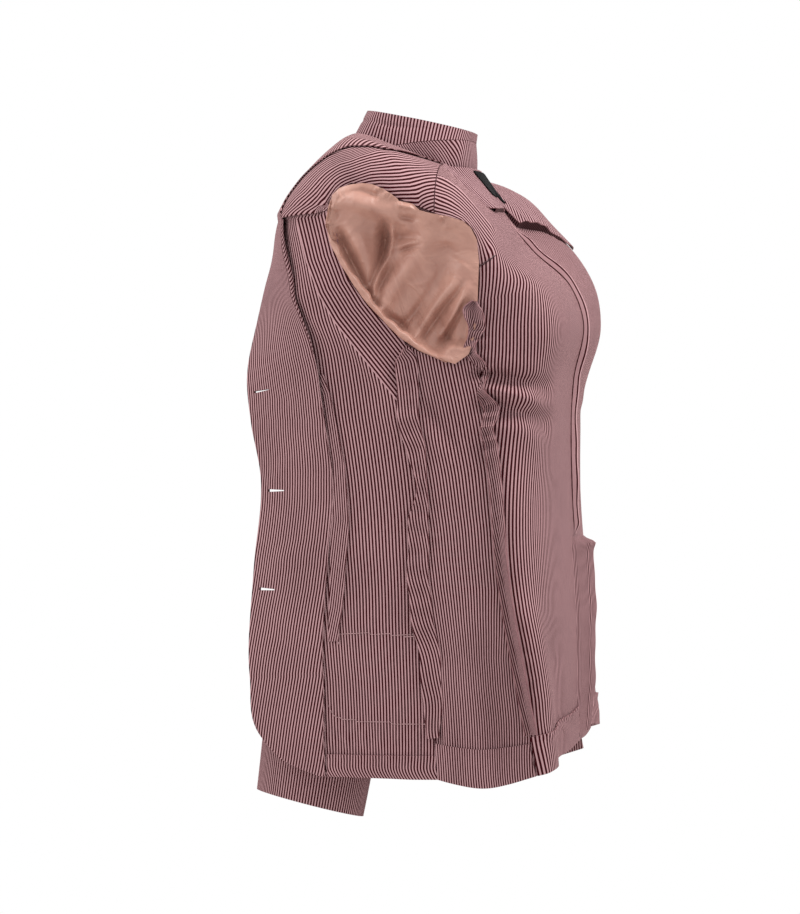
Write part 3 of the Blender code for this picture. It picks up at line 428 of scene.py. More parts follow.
def addNode(tree, kind, links=None, inputs=None, **settings):
    node = tree.nodes.new(kind)
    for name, value in settings.items():
        setattr(node, name, value)
    return setInputs(tree, node, links or {}, inputs or {})


def newMaterial(name):
    material = bpy.data.materials.new(name)
    material.use_nodes = True
    tree = material.node_tree
    return material, tree, tree.nodes["Principled BSDF"]


def stripedCotton(name, dark, light, tucked=False):  # woven rib: pale cords between dark yarn, dry and matt
    material, tree, shader = newMaterial(name)
    place = addNode(tree, "ShaderNodeUVMap", uv_map="weave").outputs["UV"]
    parts = addNode(tree, "ShaderNodeSeparateXYZ", {"Vector": place})
    across = parts.outputs["X"]
    if tucked:  # right of the tuck the cloth runs another way
        other = addNode(tree, "ShaderNodeSeparateXYZ",
                        {"Vector": addNode(tree, "ShaderNodeUVMap", uv_map="tuck").outputs["UV"]})
        beyond = addNode(tree, "ShaderNodeMath", {0: other.outputs["Y"]}, {1: 0.0}, operation="GREATER_THAN")
        across = addNode(tree, "ShaderNodeMix", {"Factor": beyond.outputs[0], "A": across,
                                                 "B": other.outputs["X"]}, data_type="FLOAT").outputs["Result"]
    # yarn unevenness of about a tenth of a stripe, over 6 mm along the stripe
    slubScale = addNode(tree, "ShaderNodeVectorMath", {0: place}, {1: (900.0, 160.0, 0.0)},
                        operation="MULTIPLY")
    slub = addNode(tree, "ShaderNodeTexNoise", {"Vector": slubScale.outputs[0]}, {"Scale": 1.0, "Detail": 2.0})
    wobble = addNode(tree, "ShaderNodeMath", {0: slub.outputs["Fac"], 2: across}, {1: 0.0003},
                     operation="MULTIPLY_ADD")
    turns = addNode(tree, "ShaderNodeMath", {0: wobble.outputs[0]}, {1: 2 * math.pi / (cloth["stripe"] * mm)},
                    operation="MULTIPLY")
    wave = addNode(tree, "ShaderNodeMath", {0: turns.outputs[0]}, operation="SINE")
    band = addNode(tree, "ShaderNodeMapRange", {"Value": wave.outputs[0]},
                   {"From Min": -0.17, "From Max": 0.35}, interpolation_type="SMOOTHSTEP")
    colour = addNode(tree, "ShaderNodeMix", {"Factor": band.outputs["Result"]},
                     {"A": linear(dark), "B": linear(light)}, data_type="RGBA")
    # slow shade drift over a hand's width, and yarn flecks of 0.6 mm
    drift = addNode(tree, "ShaderNodeTexNoise", {"Vector": place}, {"Scale": 14.0, "Detail": 3.0})
    fleck = addNode(tree, "ShaderNodeTexNoise", {"Vector": place}, {"Scale": 1600.0, "Detail": 1.0})
    both = addNode(tree, "ShaderNodeMath", {0: drift.outputs["Fac"], 1: fleck.outputs["Fac"]}, operation="ADD")
    shade = addNode(tree, "ShaderNodeMapRange", {"Value": both.outputs[0]},
                    {"From Min": 0.6, "From Max": 1.4, "To Min": 0.86, "To Max": 1.12})
    tinted = addNode(tree, "ShaderNodeMix", {"A": colour.outputs["Result"], "B": shade.outputs["Result"]},
                     {"Factor": 1.0}, data_type="RGBA", blend_type="MULTIPLY")
    rib = addNode(tree, "ShaderNodeMath", {0: band.outputs["Result"], 1: fleck.outputs["Fac"]}, operation="ADD")
    bump = addNode(tree, "ShaderNodeBump", {"Height": rib.outputs[0]}, {"Strength": 0.5, "Distance": 0.00025})
    setInputs(tree, shader, {"Base Color": tinted.outputs["Result"], "Normal": bump.outputs["Normal"]},
              {"Roughness": 0.86, "Specular IOR Level": 0.06, "Sheen Weight": 0.16, "Sheen Roughness": 0.3,
               "Sheen Tint": linear("#d8a9a8")})
    return material


def satinLining():  # smooth acetate lining: soft broad gloss, faint warp lines and pressed wrinkles
    material, tree, shader = newMaterial("acetate satin lining")
    place = addNode(tree, "ShaderNodeUVMap", uv_map="weave").outputs["UV"]
    drift = addNode(tree, "ShaderNodeTexNoise", {"Vector": place}, {"Scale": 45.0, "Detail": 4.0})
    stretch = addNode(tree, "ShaderNodeVectorMath", {0: place}, {1: (1500.0, 60.0, 0.0)},
                      operation="MULTIPLY")
    warp = addNode(tree, "ShaderNodeTexNoise", {"Vector": stretch.outputs[0]}, {"Scale": 1.0, "Detail": 2.0})
    # broad drift between a darker and a paler satin colour: painted sheen blotches over the satin's own colour,
    # which lies between the two
    ramp = addNode(tree, "ShaderNodeMix", {"Factor": drift.outputs["Fac"]},
                   {"A": linear("#996a5d"), "B": linear("#c49686")}, data_type="RGBA")
    wrinkle = addNode(tree, "ShaderNodeTexNoise", {"Vector": place},
                      {"Scale": 85.0, "Detail": 4.0, "Distortion": 0.6}, noise_type="RIDGED_MULTIFRACTAL")
    height = addNode(tree, "ShaderNodeMath", {0: warp.outputs["Fac"], 2: wrinkle.outputs["Fac"]}, {1: 0.15},
                     operation="MULTIPLY_ADD")
    bump = addNode(tree, "ShaderNodeBump", {"Height": height.outputs[0]},
                   {"Strength": 0.6, "Distance": 0.0016})
    setInputs(tree, shader, {"Base Color": ramp.outputs["Result"], "Normal": bump.outputs["Normal"]},
              {"Roughness": 0.4, "Specular IOR Level": 0.5, "Sheen Weight": 0.15,
               "Sheen Tint": linear("#f0d6cc")})
    return material


def wovenTape():  # black taffeta tape, plain
    material, tree, shader = newMaterial("black taffeta tape")
    place = addNode(tree, "ShaderNodeUVMap", uv_map="weave").outputs["UV"]
    grid = addNode(tree, "ShaderNodeTexChecker", {"Vector": place},
                   {"Scale": 2200.0, "Color1": linear("#0b0b0c"), "Color2": linear("#141416")})
    bump = addNode(tree, "ShaderNodeBump", {"Height": grid.outputs["Fac"]},
                   {"Strength": 0.3, "Distance": 0.0001})
    setInputs(tree, shader, {"Base Color": grid.outputs["Color"], "Normal": bump.outputs["Normal"]},
              {"Roughness": 0.85, "Specular IOR Level": 0.1})
    return material


def castPolyester():  # horn-effect button: cloudy brown, satin from tumbling
    material, tree, shader = newMaterial("cast polyester button")
    place = addNode(tree, "ShaderNodeTexCoord").outputs["Object"]
    cloud = addNode(tree, "ShaderNodeTexNoise", {"Vector": place}, {"Scale": 160.0, "Detail": 4.0})
    ramp = addNode(tree, "ShaderNodeMix", {"Factor": cloud.outputs["Fac"]},
                   {"A": linear("#3a2422"), "B": linear("#7a5650")}, data_type="RGBA")
    gloss = addNode(tree, "ShaderNodeMapRange", {"Value": cloud.outputs["Fac"]},
                    {"To Min": 0.28, "To Max": 0.42})
    setInputs(tree, shader, {"Base Color": ramp.outputs["Result"], "Roughness": gloss.outputs["Result"]},
              {"IOR": 1.55})
    return material


def sewingThread(name, colour):  # spun polyester: two plies twisted at about 0.5 mm
    material, tree, shader = newMaterial(name)
    place = addNode(tree, "ShaderNodeTexCoord").outputs["Object"]
    twist = addNode(tree, "ShaderNodeTexNoise", {"Vector": place}, {"Scale": 2000.0, "Detail": 1.0})
    ramp = addNode(tree, "ShaderNodeMapRange", {"Value": twist.outputs["Fac"]},
                   {"To Min": 0.75, "To Max": 1.15})
    tint = addNode(tree, "ShaderNodeMix", {"B": ramp.outputs["Result"]}, {"Factor": 1.0, "A": linear(colour)},
                   data_type="RGBA", blend_type="MULTIPLY")
    setInputs(tree, shader, {"Base Color": tint.outputs["Result"]}, {"Roughness": 0.6})
    return material


stripes = stripedCotton("ribbed cotton, wrong side", "#35080e", "#b48e91")
stripesTucked = stripedCotton("ribbed cotton, tucked", "#35080e", "#b48e91", tucked=True)
stripesPale = stripedCotton("ribbed cotton, interfaced", "#3b0e15", "#b69195")
# a darkened copy of the stripes: painted shade for the hollow under the neck facing's free edge
stripesPaintedShade = stripedCotton("ribbed cotton, painted shade under turned edge", "#1c0609", "#5a3d40")
cutEdge = sewingThread("cotton yarn, cut edge", "#86595d")
satin = satinLining()
tape = wovenTape()
horn = castPolyester()
threadPale = sewingThread("spun polyester thread, pink", "#b38d8f")
threadDark = sewingThread("spun polyester thread, plum", "#43242a")
print("materials made")


def finishMesh(piece, wall):
    bpy.context.view_layer.objects.active = piece
    if wall:
        shell = piece.modifiers.new("cloth wall", "SOLIDIFY")
        shell.thickness = wall * mm
        shell.offset = -1.0
        shell.material_offset_rim = len(piece.data.materials) - 1
        bpy.ops.object.modifier_apply(modifier=shell.name)
    bpy.ops.object.select_all(action="DESELECT")
    piece.select_set(True)
    bpy.ops.object.shade_smooth_by_angle(angle=math.radians(60))


def pickFaces(piece, wanted):  # goes into edit mode with just these faces selected
    bpy.ops.object.mode_set(mode="EDIT")
    bpy.ops.mesh.select_mode(type="FACE")
    bpy.ops.mesh.select_all(action="DESELECT")
    bpy.ops.object.mode_set(mode="OBJECT")
    piece.data.polygons.foreach_set("select", wanted)
    bpy.ops.object.mode_set(mode="EDIT")


def makeCloth(name, grid, weave, wall, material, outward, closed=False, tuck=None, slots=()):
    # grid: rows of points; weave: [(first row, stripe map)]; slots: (row, first column, last column) cut out
    rows, columns = grid.shape[:2]
    r, c = rows // 2, columns // 2
    weave = weave if isinstance(weave, list) else [(0, weave)]
    if np.cross(grid[r, c + 1] - grid[r, c], grid[r + 1, c] - grid[r, c]) @ np.asarray(outward, float) < 0.0:
        grid = grid[:, ::-1]
        weave = [(start, field[:, ::-1]) for start, field in weave]
        tuck = None if tuck is None else tuck[:, ::-1]
        slots = [(row, columns - 1 - high, columns - 1 - low) for row, low, high in slots]
    bpy.ops.object.select_all(action="DESELECT")
    bpy.ops.mesh.primitive_grid_add(x_subdivisions=columns - 1, y_subdivisions=rows - 1, size=1.0)
    piece = bpy.context.object
    piece.name = name
    mesh = piece.data
    mesh.name = name
    mesh.vertices.foreach_set("co", (grid * mm).astype(np.float32).ravel())
    corner = np.empty(len(mesh.loops), np.int32)
    mesh.loops.foreach_get("vertex_index", corner)
    faceRow = corner.reshape(-1, 4).min(axis=1) // columns
    faceColumn = corner.reshape(-1, 4).min(axis=1) % columns
    spots = np.zeros((len(corner), 2), np.float32)
    for start, field in weave:
        use = np.repeat(faceRow >= start, 4)
        spots[use] = (field.reshape(-1, 2) * mm)[corner[use]]
    mesh.uv_layers[0].name = "weave"
    mesh.uv_layers["weave"].data.foreach_set("uv", spots.ravel())
    if tuck is not None:
        extra = mesh.uv_layers.new(name="tuck")
        extra.data.foreach_set("uv", (tuck.reshape(-1, 2) * mm)[corner].astype(np.float32).ravel())
        mesh.uv_layers["weave"].active_render = True
    mesh.materials.append(material)
    if wall and material not in (satin, tape):
        mesh.materials.append(cutEdge)
    mesh.update()
    if slots:
        cut = np.zeros(len(faceRow), bool)
        for row, low, high in slots:
            cut |= (faceRow == row) & (faceColumn >= low) & (faceColumn < high)
        pickFaces(piece, cut)
        bpy.ops.mesh.delete(type="FACE")
        bpy.ops.object.mode_set(mode="OBJECT")
    if closed:
        bpy.ops.object.mode_set(mode="EDIT")
        bpy.ops.mesh.select_all(action="SELECT")
        bpy.ops.mesh.remove_doubles(threshold=1e-5)
        bpy.ops.object.mode_set(mode="OBJECT")
    finishMesh(piece, wall)
    return piece


def dress(piece, nodes):
    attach(piece, "root")
    if nodes:
        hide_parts(*nodes)
    return piece


def flipped(grid, sign):
    return grid * np.array([sign, 1.0, 1.0])


def rowsDown(start, end, cell):
    return np.linspace(start, end, max(3, int(round((end - start) / cell)) + 1))


def stripeMap(grid, shareGrid, zeroShare):  # distance across each row from the zero line, and travel down
    across = runAlong(grid, 1)
    zero = np.array([np.interp(share, shareGrid[i], across[i]) for i, share in enumerate(zeroShare)])
    drop = np.linalg.norm(np.diff(grid, axis=0), axis=2).mean(axis=1)
    down = np.concatenate([[0.0], np.cumsum(drop)])[:, None] * np.ones(grid.shape[1])
    return np.stack([across - zero[:, None], down], axis=-1)


def stripeField(spots, guides, lean):  # stripe number at each picture pixel, counted between traced stripes
    turn = math.radians(lean)

    def turned(points):
        return (math.cos(turn) * points[..., 0] + math.sin(turn) * points[..., 1],
                math.sin(turn) * points[..., 0] - math.cos(turn) * points[..., 1])

    along, above = turned(spots)
    levels = [np.interp(along, *turned(np.array(line, float))) for _, line in guides]
    field = np.zeros(along.shape)
    for k in range(len(guides) - 1):
        gap = np.maximum(levels[k + 1] - levels[k], 1.0)
        value = guides[k][0] + (above - levels[k]) / gap * (guides[k + 1][0] - guides[k][0])
        field = value if k == 0 else np.where(above > levels[k], value, field)
    return field


def seamShares(panel, downs, columns):  # even columns, half a seam gap in from both edges
    inset = np.array([0.5 * cloth["seamGap"] / panel.width(down) for down in downs])[:, None]
    return inset + (1.0 - 2.0 * inset) * np.linspace(0.0, 1.0, columns)


# Back: two halves joined at the centre seam. Stripes run along the side seam and round the armhole.
backPiece = {"columns": 110, "flat": (250, 660), "area": 138000, "hemFlat": (215, 37), "guideLean": 45.0,
             "lastGuide": 10.0,  # the rest in picture pixels
             "hangFrom": 300.0, "joinFrom": 486.0, "joinOver": 14.0, "joinReach": 34.0}
backGuides = [  # stripe number and its traced line, in picture pixels
    (0, [(430, 211), (434, 212), (442, 213.5), (450, 215.5), (460, 219.5), (468, 227), (474, 237), (477, 250),
         (478, 270)]),
    (5, [(430, 192), (435, 193), (445, 195.5), (452, 199), (460, 205), (468, 213), (475, 222), (482, 232),
         (489, 242), (494, 250), (499, 268)]),
    (9, [(430, 177), (437, 178.5), (445, 182), (455, 188), (464, 196), (473, 206), (482, 217), (490, 227),
         (498, 238), (505, 247), (516, 262)])]
backDart = [(462, 278), (477, 268), (496, 255), (512, 244), (560, 214)]
backGrain = [(190, 0.62), (300, 1.0), (400, 0.95), (470, 0.86), (530, 0.92), (620, 1.0)]
backLine = [(517, 262), (516.5, 300), (516, 350), (514, 380), (510, 425), (505, 480), (504, 520), (505, 555),
            (510, 600), (518, 640), (527, 690), (531, 740), (534, 795)]


def buildBack(name, half, sign):
    back = half["back"]
    downs = rowsDown(0.6, back.length, cloth["cell"])
    shares = seamShares(back, downs, backPiece["columns"])
    grid = back.at(downs[:, None], shares)
    smoothGrid = back.at(downs[:, None], shares, fine=0.0)
    weave = stripeMap(smoothGrid, shares, np.ones(len(downs)))
    spots = seenAt(smoothGrid)
    reach = -weave[:, ::-1, 0]
    hang = stripeMap(smoothGrid, shares, back.shareOnLine(downs, backLine))[..., 0]
    hang = (hang - weave[..., 0]) * byHeight(spots, backGrain)
    begin = int(np.argmax(spots[:, -1, 1] > backPiece["hangFrom"]))
    hang = np.where(np.arange(len(downs))[:, None] > begin, hang - hang[begin], 0.0)
    number = stripeField(spots, backGuides, backPiece["guideLean"])[:, ::-1]
    for i in range(len(downs)):
        past = int(np.argmax(number[i] > backPiece["lastGuide"]))
        if past:
            number[i, past:] = number[i, past] + (reach[i, past:] - reach[i, past]) / cloth["stripe"]
    away, side, _, _ = alongLine(spots, backDart)
    weave[..., 0] *= byHeight(spots, backGrain)
    weave[..., 0] += hang
    upper = -number[:, ::-1] * cloth["stripe"]
    toDart = np.hypot(*(spots - np.array(backDart[2])).transpose(2, 0, 1))
    dartEnd = np.unravel_index(np.argmin(toDart), away.shape)
    weave[..., 0] += upper[dartEnd] - weave[dartEnd][0]
    joined = (smooth((spots[..., 0] - backPiece["joinFrom"]) / backPiece["joinOver"])
              * smooth((backPiece["joinReach"] - away) / backPiece["joinReach"]))
    tuck = np.stack([upper + (weave[..., 0] - upper) * joined, away * side], axis=-1)
    piece = makeCloth("back" + name, flipped(grid, sign), weave, cloth["shellWall"], stripesTucked,
                      flipped(back.normal(back.length * 0.5, 0.5), sign), tuck=tuck)
    dress(piece, ["back_" + name.lower()])
    hemBand("hemBack" + name, back, downs, shares, weave, sign, "hem_back_" + name.lower())


# Hem turn-ups lie on the last rows of each panel.
def hemBand(label, panel, downs, shares, weave, sign, node):
    low = downs[-1] - hems["depth"]
    bandDowns = rowsDown(low, downs[-1], hems["cell"])
    bandShares = rowsAt(bandDowns, downs, shares)
    part = (bandDowns - low) / hems["depth"]
    loose = 0.7 * np.exp(-(part / 0.12) ** 2)[:, None] * (1.0 + np.sin(np.arange(shares.shape[1]) * 0.9))
    grid = panel.at(bandDowns[:, None], bandShares, trimOut + loose)
    field = np.stack([rowsAt(bandDowns, downs, weave[..., 0]),
                      -bandDowns[:, None] * np.ones(shares.shape[1])], axis=-1)
    field[..., 0] += 0.4 * cloth["stripe"] + 0.02 * bandDowns[:, None]
    outward = flipped(panel.normal(panel.length - 10.0, 0.7), sign)
    piece = makeCloth(label, flipped(grid, sign), field, cloth["trimWall"], stripes, outward)
    dress(piece, [node])


# Side panel between the two side seams. Its stripes follow a traced line and close up toward the hem.
sidePlan = {"columns": 40, "flat": (100, 445), "area": 38000, "hemFlat": (108, 37), "hemInset": 0.02,
            "grain": [(345, 1.0), (450, 1.02), (520, 1.11), (590, 1.16), (660, 1.42), (720, 1.35)],
            "line": [(420, 345), (440, 450), (451, 520), (458, 590), (464, 660), (469, 720), (471, 795)]}


def buildSide(name, half, sign):
    side = half["side"]
    downs = rowsDown(0.0, side.length, cloth["cell"])
    shares = seamShares(side, downs, sidePlan["columns"])
    grid = side.at(downs[:, None], shares)
    smoothGrid = side.at(downs[:, None], shares, fine=0.0)
    weave = stripeMap(smoothGrid, shares, side.shareOnLine(downs, sidePlan["line"]))
    weave[..., 0] *= byHeight(seenAt(smoothGrid), sidePlan["grain"])
    piece = makeCloth("side" + name, flipped(grid, sign), weave, cloth["shellWall"], stripes,
                      flipped(side.normal(side.length * 0.5, 0.5), sign))
    dress(piece, ["side_" + name.lower()])
    narrow = shares.copy()
    narrow[:, 0] += sidePlan["hemInset"]
    hemBand("hemSide" + name, side, downs, narrow, weave, sign, "hem_side_" + name.lower())


# Front: from the shoulder seam down to the hem, with an overhanging fold below the shoulder.
frontPlan = {"facingColumns": 34, "bareColumns": 50, "flat": (285, 860), "area": 128000, "facingHemY": 67.0,
             "slotStart": 9.0, "slotEnd": 29.0, "slotHalf": 1.2, "slotHeights": (-240.0, -341.0, -441.0),
             "slotColumns": (3, 10), "slotTilts": (-1.5, 0.0, 1.8), "hemFlat": (80, 37), "hemInset": 0.012,
             "leastStep": 0.45, "grain": [(520, 1.0), (600, 1.05), (680, 1.1)],
             "dip": (0.16, 168.0, 22.0)}  # the facing narrows at the lapel: share, down, half length
zFold = [(0.0, 0.3), (2.6, 0.2), (3.6, -0.9), (3.2, -2.4), (0.0, -3.2), (-5.0, -3.3), (-6.6, -3.5),
         (-6.0, -4.0), (-2.0, -4.4), (3.0, -5.0)]  # travel past the fold, and out
frontGrain = [(291, 190), (296, 215), (319, 290), (335, 342), (341.6, 380), (350.6, 440), (357.5, 500),
              (362, 560), (366.5, 640), (371, 720), (374, 800)]
yokeGuides = [  # as for the back
    (5, [(285, 235), (320, 225), (340, 212), (360, 205), (380, 201), (400, 199.5), (413, 199.5),
         (418, 200), (421, 197), (428, 194), (435, 192.7), (445, 192)]),
    (9, [(285, 222), (310, 216), (330, 206), (345, 194.5), (360, 187.5), (370, 185.5), (380, 184.5),
         (390, 185), (400, 184.5), (410, 184), (417, 182), (424, 180), (430, 179), (437, 178.5)]),
    (13, [(285, 217), (310, 213), (325, 206), (328, 201), (331, 196), (335, 189.5), (340, 184.5),
          (345, 181.5), (350, 179.5), (360, 176), (370, 172.5), (380, 171.5), (390, 171), (400, 170.5),
          (406, 169), (412, 167.5), (420, 167), (437, 166)]),
    (16, [(285, 213), (300, 209.5), (306, 206.5), (312, 202.5), (317, 198), (321, 192.5), (325, 187),
          (330, 181.5), (335, 177), (340, 174), (345, 172), (350, 170.5), (360, 167), (370, 163.8),
          (380, 162.5), (388, 161), (395, 159), (402, 157.5), (437, 156)]),
    (20, [(285, 205.5), (290, 203), (295, 200), (300, 197), (305, 193), (310, 187.5), (315, 181.5),
          (320, 176), (325, 171.5), (330, 168), (340, 162.5), (350, 160), (360, 156), (370, 153), (380, 150),
          (400, 146), (437, 145)]),
    (25, [(285, 200), (290, 196), (295, 190), (300, 184), (305, 177.5), (310, 172), (320, 164),
          (330, 158), (340, 154), (350, 151.5), (360, 148), (380, 142), (437, 135)])]
tuckLine = [(291, 200), (306, 262), (318, 294), (335, 322), (408, 415), (446, 464)]


def frontLayout(half):
    front = half["front"]
    foldDown = front.knots[len(neckRows) + 1]
    slots = [float(front.downAtHeight(z, 0.1)) for z in frontPlan["slotHeights"]]
    edges = [0.6, foldDown - 8.0, foldDown + 6.0]
    for slot in slots:
        edges += [slot - frontPlan["slotHalf"], slot + frontPlan["slotHalf"]]
    edges += [front.length - hems["depth"], front.length]
    pieces = []
    for low, high in zip(edges[:-1], edges[1:]):
        count = max(1, int(round((high - low) / cloth["cell"])))
        pieces.append(np.linspace(low, high, count, endpoint=False))
    downs = np.concatenate(pieces + [[front.length]])
    rows = neckRows + frontRows
    facing = np.interp(downs, front.knots, [row[4] for row in rows])
    straight = front.shareAtDepth(downs, frontPlan["facingHemY"])
    facing = np.where(downs > front.knots[-4], straight, facing)
    dip, dipDown, dipHalf = frontPlan["dip"]
    facing = facing - dip * np.exp(-((downs - dipDown) / dipHalf) ** 2)
    width = np.array([front.width(down) for down in downs])
    inset = 0.5 * cloth["seamGap"] / width
    first = np.concatenate([np.linspace(0.0, frontPlan["slotStart"], 4)[:-1],
                            np.linspace(frontPlan["slotStart"], frontPlan["slotEnd"], 8)])
    marks = np.zeros((len(downs), frontPlan["facingColumns"]))
    reach = facing * width
    for i in range(len(downs)):
        spread = min(1.0, 0.8 * reach[i] / frontPlan["slotEnd"])
        near = first * spread
        rest = np.linspace(near[-1], reach[i], frontPlan["facingColumns"] - len(near) + 1)[1:]
        marks[i] = np.concatenate([near, rest]) / reach[i]
    facingShares = inset[:, None] + (facing - 2.0 * inset)[:, None] * marks
    bare = np.linspace(0.0, 1.0, frontPlan["bareColumns"])
    bareShares = (facing + inset)[:, None] + (1.0 - facing - 2.0 * inset)[:, None] * bare
    slotRows = [int(np.argmin(np.abs(downs - (slot - frontPlan["slotHalf"])))) for slot in slots]
    return {"downs": downs, "facing": facing, "facingShares": facingShares, "bareShares": bareShares,
            "slotRows": slotRows, "foldDown": foldDown}


def narrowSlots(grid, slots):  # each buttonhole tapers toward its inner end and lies a little tilted
    for (row, low, high), tilt in zip(slots, frontPlan["slotTilts"]):
        for column in range(low, high + 1):
            part = (column - low) / (high - low)
            middle = (grid[row, column] + grid[row + 1, column]) / 2
            down = (grid[row + 1, column] - middle) * (1.15 - 0.75 * part)
            shift = unit(down) * tilt * (part - 0.5)
            grid[row, column], grid[row + 1, column] = middle - down + shift, middle + down + shift


def buildFront(name, half, sign):
    front, plan = half["front"], half["layout"]
    downs, foldDown = plan["downs"], plan["foldDown"]
    shares = np.concatenate([plan["facingShares"], plan["bareShares"][:, 1:]], axis=1)
    above = downs < foldDown - 7.0
    below = downs > foldDown + 5.0
    foldRow = int(above.sum())
    yoke = front.at(downs[above][:, None], shares[above], stepped=0.0)
    lower = front.at(downs[below][:, None], shares[below])
    middle = rowsAt(foldDown, downs, shares)
    edgeShare = np.interp(foldDown, downs, plan["facing"])
    inner = (1.0 - 0.97 * smooth((middle - 0.86) / 0.14)) * smooth((middle - edgeShare + 0.10) / 0.10)
    pleat = []
    for travel, out in zFold:
        spread = foldDown + travel * inner + (1.0 - inner) * (travel * 0.15)
        pleat.append(front.at(spread, middle, out * inner, stepped=0.0))
    grid = np.concatenate([yoke, np.array(pleat), lower])
    allShares = np.concatenate([shares[above], np.repeat(middle[None], len(zFold), axis=0), shares[below]])
    allDowns = np.concatenate([downs[above], np.full(len(zFold), foldDown), downs[below]])
    smoothGrid = front.at(allDowns[:, None], allShares, fine=0.0)
    overShoulder = stripeMap(smoothGrid, allShares, np.ones(len(grid)))
    reach = -overShoulder[..., 0]
    spots = seenAt(smoothGrid)
    number = stripeField(spots, yokeGuides, 0.0)
    leastStep = frontPlan["leastStep"] * np.diff(reach[:, ::-1], axis=1) / cloth["stripe"]
    step = np.maximum(np.diff(number[:, ::-1], axis=1), leastStep)
    number[:, :-1] = (number[:, -1:] + np.cumsum(step, axis=1))[:, ::-1]
    bend = np.concatenate([[0.0], np.cumsum(np.hypot(*np.diff(np.array(zFold), axis=0).T))])
    fall = (number[foldRow - 1] - number[foldRow - 4]) / (downs[foldRow - 1] - downs[foldRow - 4])
    number[foldRow:foldRow + len(zFold)] += np.clip(fall, -1.2, 1.2) * (bend[:, None] - 1.0)
    overShoulder[..., 0] = -number * cloth["stripe"]
    hang = stripeMap(smoothGrid, allShares, front.shareOnLine(allDowns, frontGrain))
    hang[..., 0] *= byHeight(spots, frontPlan["grain"])
    away, side, _, _ = alongLine(spots, tuckLine)
    lowEnough = smooth((spots[..., 1] - 212.0) / 3.0) * (allDowns > foldDown)[:, None]
    tuck = np.stack([away * side * 1.02, np.where(lowEnough > 0.5, away * side, -1.0)], axis=-1)
    extra = len(zFold) - int((~above & ~below).sum())
    slots = [(row + extra, *frontPlan["slotColumns"]) for row in plan["slotRows"]] if sign > 0 else []
    narrowSlots(grid, slots)
    piece = makeCloth("front" + name, flipped(grid, sign), [(0, overShoulder), (foldRow + 4, hang)],
                      cloth["shellWall"], stripesTucked, flipped(front.normal(front.length * 0.7, 0.7), sign),
                      tuck=tuck, slots=slots)
    dress(piece, ["front_" + name.lower()])
    keep = below.sum()
    bare = plan["bareShares"].copy()
    bare[:, 0] += frontPlan["hemInset"]
    field = hang[-keep:, plan["facingShares"].shape[1] - 1:]
    hemBand("hemFront" + name, front, downs[below], bare[below], field, sign, "hem_front_" + name.lower())


# Facing: lies on the front from the shoulder to the hem, its inner edge turned under and standing off.
facingPlan = {"flat": (128, 850), "area": 62000, "roll": 3.2,
              "grain": [(215, 1.2), (440, 1.18), (540, 1.1), (640, 1.02), (740, 1.0)],
              "lean": [(400, 0), (440, 4), (490, 7.5), (540, 6.5), (590, 9), (640, 15), (690, 24), (740, 34),
                       (800, 47)]}


def buildFacing(name, half, sign):
    front, plan = half["front"], half["layout"]
    downs, foldDown, shares = plan["downs"], plan["foldDown"], plan["facingShares"]
    past = downs - foldDown
    loose = smooth(past / 60.0) * (1.0 - smooth((past - 150.0) / 160.0))
    part = (shares - shares[:, :1]) / (shares[:, -1:] - shares[:, :1])
    lift = trimOut + 0.3 + 5.0 * loose[:, None] * part ** 2
    grid = front.at(downs[:, None], shares, lift, stepped=0.5)
    weave = stripeMap(front.at(downs[:, None], shares, lift, stepped=0.5, fine=0.0), shares, shares[:, 0])
    spots = seenAt(front.at(downs[:, None], shares, fine=0.0))
    slanted = 0.76 * weave[..., 0] - 0.52 * np.maximum(weave[..., 0] - 55.0, 0.0) - 0.65 * weave[..., 1]
    lapelRows = int((downs < foldDown - 4.0).sum())
    weave[..., 0] -= weave[:, -1:, 0]
    weave[..., 0] *= byHeight(spots, facingPlan["grain"])
    weave[..., 0] += byHeight(spots, facingPlan["lean"])
    # the inner edge rolls under, with the stripes crossing the roll on the slant
    normal = front.normal(downs, shares[:, -1])
    outer = unit(grid[:, -1] - grid[:, -2])
    radius = 0.3 + facingPlan["roll"] * smooth((past + 12.0) / 20.0) * (1.0 - smooth((past - 40.0) / 160.0))
    roll, rollMap = [], []
    for angle in np.radians(np.linspace(0.0, 200.0, 9)[1:]):
        sunk = np.minimum(radius, 0.5 * (lift[:, -1] - 0.6)) * (1.0 - math.cos(angle))
        roll.append(grid[:, -1] + outer * (radius * math.sin(angle))[:, None] - normal * sunk[:, None])
        slant = weave[:, -1, 0] + 0.9 * radius * angle + 0.75 * downs * (radius > 0.9)
        rollMap.append(np.stack([slant, weave[:, -1, 1]], axis=-1))
    grid = np.concatenate([grid, np.array(roll).transpose(1, 0, 2)], axis=1)
    lapel = np.stack([slanted, weave[..., 1]], axis=-1)
    lapel = np.concatenate([lapel, np.repeat(lapel[:, -1:], len(roll), axis=1)], axis=1)
    weave = np.concatenate([weave, np.array(rollMap).transpose(1, 0, 2)], axis=1)
    slots = [(row, *frontPlan["slotColumns"]) for row in plan["slotRows"]] if sign > 0 else []
    narrowSlots(grid, slots)
    piece = makeCloth("facing" + name, flipped(grid, sign), [(0, lapel), (lapelRows, weave)], cloth["trimWall"],
                      stripes, flipped(front.normal(front.length * 0.6, 0.2), sign), slots=slots)
    dress(piece, ["facing_" + name.lower()])


for name, half, sign in halves:
    half["layout"] = frontLayout(half)
    buildBack(name, half, sign)
    buildSide(name, half, sign)
    buildFront(name, half, sign)
    buildFacing(name, half, sign)
print("back, side, front, facing and hems sewn")


# Side seam allowances, pressed open and puckered: flaps (offset across the seam, lift) with a wavy edge.
allowance = {"back": {"clear": 1.7, "left": 5.0, "right": 11.0, "start": -40.0, "taper": 0.0, "grain": 1.35,
                      "flat": (17, 470)},
             "front": {"clear": 0.9, "left": 11.0, "right": 10.0, "start": 4.0, "taper": 0.45, "grain": 1.1,
                       "flat": (22, 430)}}


